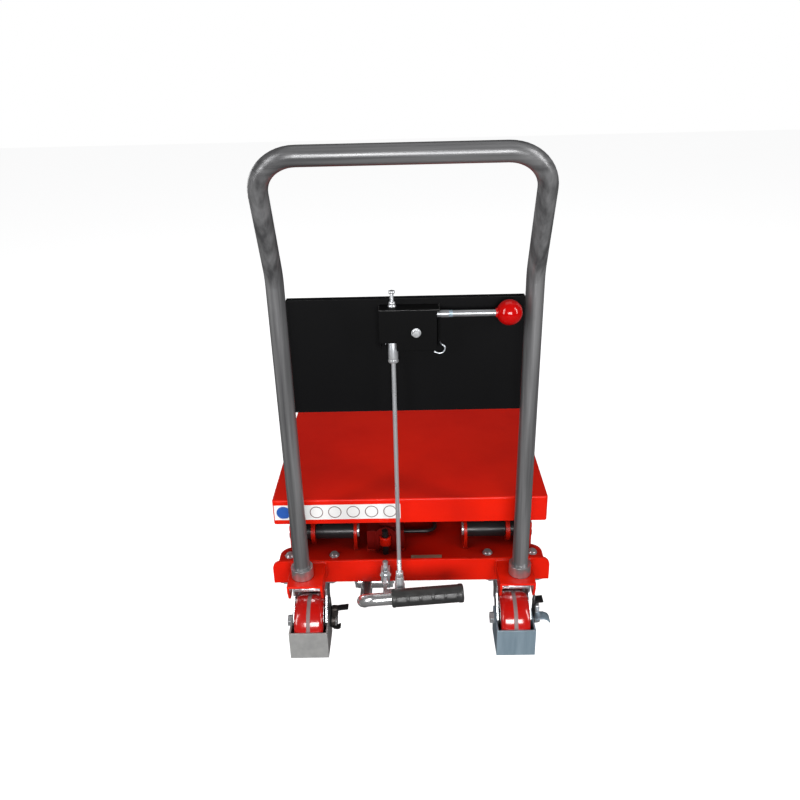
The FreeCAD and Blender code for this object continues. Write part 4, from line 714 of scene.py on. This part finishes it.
rodSet = {
    "x": -20.0, "y": -406.03, "pin": 656.23, "foot": 148.0, "radius": 3.5,
    "thread": (3.9, 205, 236, 1.0, 0.5),  # radius, low, high, pitch, depth
    "coupler": [(3.6, -52), (7.2, -52.4), (8.2, -51), (8.3, -48.6), (7.2, -47.4), (7.6, -46), (7.7, -44.6),
                (7.7, -13.6), (7.2, -12.4), (5.2, -12), (0, -12)],  # from the pin
    "fitting": [(3.6, 170), (8.2, 170), (8.9, 171.2), (8.9, 182), (8.0, 184), (7.6, 197), (6.9, 199),
                (3.6, 199)],
    "fork": (11, 6, 30), "forkDown": 6, "forkRound": 1.6,
    "nuts": [(13, 199.2, 208.6), (13, 149, 155.5)],  # flats, low, high
    "washer": [(3.6, 155.6), (8.4, 155.6), (8.4, 157.0), (3.6, 157.0)],
    "pinLine": [(0, 0), (3.6, 0), (4, 0.5), (4, 11.4), (0, 11.4)], "pinFront": 1.0,
    "clipDown": 15.0, "clipRadius": 1.0,
    "clips": [[(5, 0, 0), (-6, -2, 0.2), (-10, -4, 1.2), (-13.2, -6, 0.8)],
              [(5, 0, -1.6), (-6, -2, -2), (-9, -4, -2.8), (-11.5, -5, -5.4)],
              [(5, 0, -0.2), (9, 0, 1), (11.4, 0, -0.8), (9, 0, -2.8), (5, 0, -1.4)]],
}
x, y, pinZ, foot, radius = (rodSet[key] for key in ("x", "y", "pin", "foot", "radius"))
threadLow, barTop = rodSet["thread"][1], pinZ - 50
bar = spun([(0, foot), (radius - 0.5, foot), (radius, foot + 0.8), (radius, threadLow), (radius, barTop),
            (0, barTop)], 24)
thread = spun(threads(*rodSet["thread"]), 20)
coupler = spun([(out, pinZ + along) for out, along in rodSet["coupler"]], 40)
fork = block(rodSet["fork"], (0, 0, pinZ - rodSet["forkDown"]), rodSet["forkRound"], 3)
fitting = spun(rodSet["fitting"], 40)
nuts = [hexagonal(*nut) for nut in rodSet["nuts"]]
washer = spun(rodSet["washer"], 32, True)
upright = stood(joined(bar, thread, coupler, fork, fitting, *nuts, washer), (x, y, 0))
pinRod = stood(spun(rodSet["pinLine"], 28), (x, y + rodSet["pinFront"], pinZ), (0, -1, 0))
clipSpot = Vector((x, y, pinZ - rodSet["clipDown"]))
prongs = [wire([clipSpot + Vector(step) for step in line], rodSet["clipRadius"]) for line in rodSet["clips"]]
piece("control_rod", joined(upright, pinRod, *prongs), "link", "zinc", "zinc", replaces=["release_rod"])
print("release rod made")

# Screws of the release box, laid out in the leaning plane of the handle

handleLine = {"foot": (-379.03, 183.0), "lean": 1.535}
lean = math.radians(handleLine["lean"])
upWay = Vector((0, -math.sin(lean), math.cos(lean)))
backWay = Vector((0, -math.cos(lean), -math.sin(lean)))  # towards whoever pushes


def onHandle(x, back, up):
    return Vector((x, *handleLine["foot"])) + upWay * up + backWay * back


stopSet = {"x": -20.0, "back": 11.2, "top": 510.0, "flats": 9.6, "head": (20.6, 24.6), "nut": (3.2, 7.6),
           "thread": (3.0, -16, 21, 1.2),
           "collar": [(0, 0.1), (6.0, 0.1), (6.2, 0.9), (5.0, 3.3), (0, 3.3)]}  # heights above the box
radius, low, high, pitch = stopSet["thread"]
stopScrew = joined(hexagonal(stopSet["flats"], *stopSet["head"]), spun(threads(radius, low, high, pitch), 20),
                   hexagonal(stopSet["flats"], *stopSet["nut"]), spun(stopSet["collar"], 32))
stood(stopScrew, onHandle(stopSet["x"], stopSet["back"], stopSet["top"]), upWay)
boltSet = {"x": 15.6, "up": 474.0, "head": (11, 30.9, 35.6), "crown": [(0, 35.5), (2.8, 35.7), (0, 35.8)],
           "shank": [(0, 0), (3.95, 0), (3.95, 31), (0, 31)], "nut": (13, -8.2, -1.7),
           "washer": [(4.1, 30.5), (7.2, 30.5), (7.2, 31.0), (4.1, 31.0)]}  # distances behind the tubes
pivotBolt = joined(hexagonal(*boltSet["head"]), spun(boltSet["crown"], 16), spun(boltSet["shank"], 24),
                   spun(boltSet["washer"], 32, True), hexagonal(*boltSet["nut"]))
stood(pivotBolt, onHandle(boltSet["x"], 0, boltSet["up"]), backWay)
piece("box_screws", joined(stopScrew, pivotBolt), "base", "zinc", "zinc", replaces=["release_bolts"])

hookSet = {"radius": 1.25,
           "line": [(43.0, -404, 619.0), (47, -404, 616.8), (54, -404, 615.8), (59.6, -404, 620.5),
                    (59.4, -404, 627.5), (54.5, -403, 630.5), (53, -400, 631), (52.5, -393.5, 631)]}
piece("wire_hook", wire(hookSet["line"], hookSet["radius"]), "base", "zinc", "brightZinc")

leverSet = {"thread": (5.5, 63.0, 72.0, 1.5, 0.45), "back": 22.5, "up": 501.0}
spot = onHandle(0, leverSet["back"], leverSet["up"])
thread = stood(spun(threads(*leverSet["thread"]), 32), spot, (1, 0, 0))
piece("lever_thread", thread, "lever", "zinc", "blueZinc")
print("release gear made")

# Blank strip on the platform's edge and blank plate on the base

stripSet = {"left": -247.0, "right": -17.0, "low": 264.0, "high": 295.0, "thick": 0.3, "printThick": 0.2,
            "discAt": -229.8, "discShare": 0.42, "ringsAt": -170.0, "ringStep": 33.5, "rings": 5,
            "ringIn": 10.6, "ringOut": 12.2}
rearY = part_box("platform_tray")[0].y / mm
wide, tall = stripSet["right"] - stripSet["left"], stripSet["high"] - stripSet["low"]
midX, midZ = (stripSet["right"] + stripSet["left"]) / 2, (stripSet["high"] + stripSet["low"]) / 2
thick, discRadius = stripSet["printThick"], tall * stripSet["discShare"]
parts = [painted(block((wide, stripSet["thick"], tall), (midX, rearY - 0.05, midZ)), 0)]
disc = spun([(0, 0), (discRadius, 0), (discRadius, thick), (0, thick)], 40)
parts.append(painted(stood(disc, (stripSet["discAt"], rearY - 0.15, midZ), (0, -1, 0)), 2))
for number in range(stripSet["rings"]):
    inner, outer = stripSet["ringIn"], stripSet["ringOut"]
    ring = spun([(inner, 0), (outer, 0), (outer, thick), (inner, thick)], 40, True)
    spot = stripSet["ringsAt"] + number * stripSet["ringStep"]
    parts.append(painted(stood(ring, (spot, rearY - 0.15, midZ), (0, -1, 0)), 1))
piece("blank_strip", joined(*parts), "platform", "red_paint", "labelWhite", "labelGrey", "labelBlue")

plateSet = {"size": (60, 30, 0.8), "middle": (30, -285), "lift": 0.5, "round": 0.3, "rivetLift": 0.9,
            "rivet": [(0, 1.3), (1.2, 1.1), (1.9, 0.5), (2.0, 0), (0, 0)],
            "rivetsX": (3.5, 56.5), "rivetsY": (-296.5, -273.5)}
floorTop = 145.0
plate = block(plateSet["size"], (*plateSet["middle"], floorTop + plateSet["lift"]), plateSet["round"])
rivets = [stood(spun(plateSet["rivet"], 16), (rivetX, rivetY, floorTop + plateSet["rivetLift"]))
          for rivetX in plateSet["rivetsX"] for rivetY in plateSet["rivetsY"]]
piece("blank_plate", joined(plate, *rivets), "base", "zinc", "platePale")
print("labels made")

# Domed bolt heads and washers over the rear casters' bolts

domeSet = {"columns": (-236.5, -149.5, 149.5, 236.5), "rows": (-325.05, -265.05),
           "line": [(0, 6.1), (3.2, 5.9), (5.8, 4.9), (7.4, 3.2), (8.0, 1.4), (8.1, 1.0), (9.6, 0.9),
                    (9.6, 0.05), (0, 0.05)]}
heads = [stood(spun(domeSet["line"], 32), (columnX, rowY, floorTop))
         for columnX in domeSet["columns"] for rowY in domeSet["rows"]]
piece("dome_bolts", joined(*heads), "base", "zinc", "zinc")

# Weld beads: rows of small overlapping blobs

weldSet = {
    "both": [((158, -341.4, 183), (219, -341.4, 183), 2.0), ((157, -342, 154), (157, -342, 182), 2.0),
             ((220, -342, 154), (220, -342, 182), 2.0), ((111, -248, 146), (111, -200, 146), 2.4),
             ((105, -248, 146), (105, -200, 146), 2.4)],  # mirrored to the other side
    "single": [((-85, -251.6, 146), (-13, -251.6, 146), 2.2), ((-85, -251, 146), (-85, -182, 146), 2.2),
               ((-13, -251, 146), (-13, -182, 146), 2.2)],
    "step": 1.7, "wander": (0.25, 0.2, 0.15), "turn": 2.3,
}


def bead(first, last, size):
    first, last = Vector(first), Vector(last)
    count = max(2, int((last - first).length / weldSet["step"]))
    blobs = []
    for number in range(count + 1):
        spot = first.lerp(last, number / count)
        spot += Vector(weldSet["wander"]) * math.sin(number * weldSet["turn"])
        blob = bmesh.new()
        bmesh.ops.create_uvsphere(blob, u_segments=8, v_segments=5, radius=size * mm)
        blobs.append(stood(blob, spot, (last - first).normalized()))
    return joined(*blobs)


runs = [bead((side * first[0], *first[1:]), (side * last[0], *last[1:]), size)
        for side in (-1, 1) for first, last, size in weldSet["both"]]
runs += [bead(*line) for line in weldSet["single"]]
piece("frame_welds", joined(*runs), "base", "red_paint", "redPaint", smooth=60)
print("welds made")
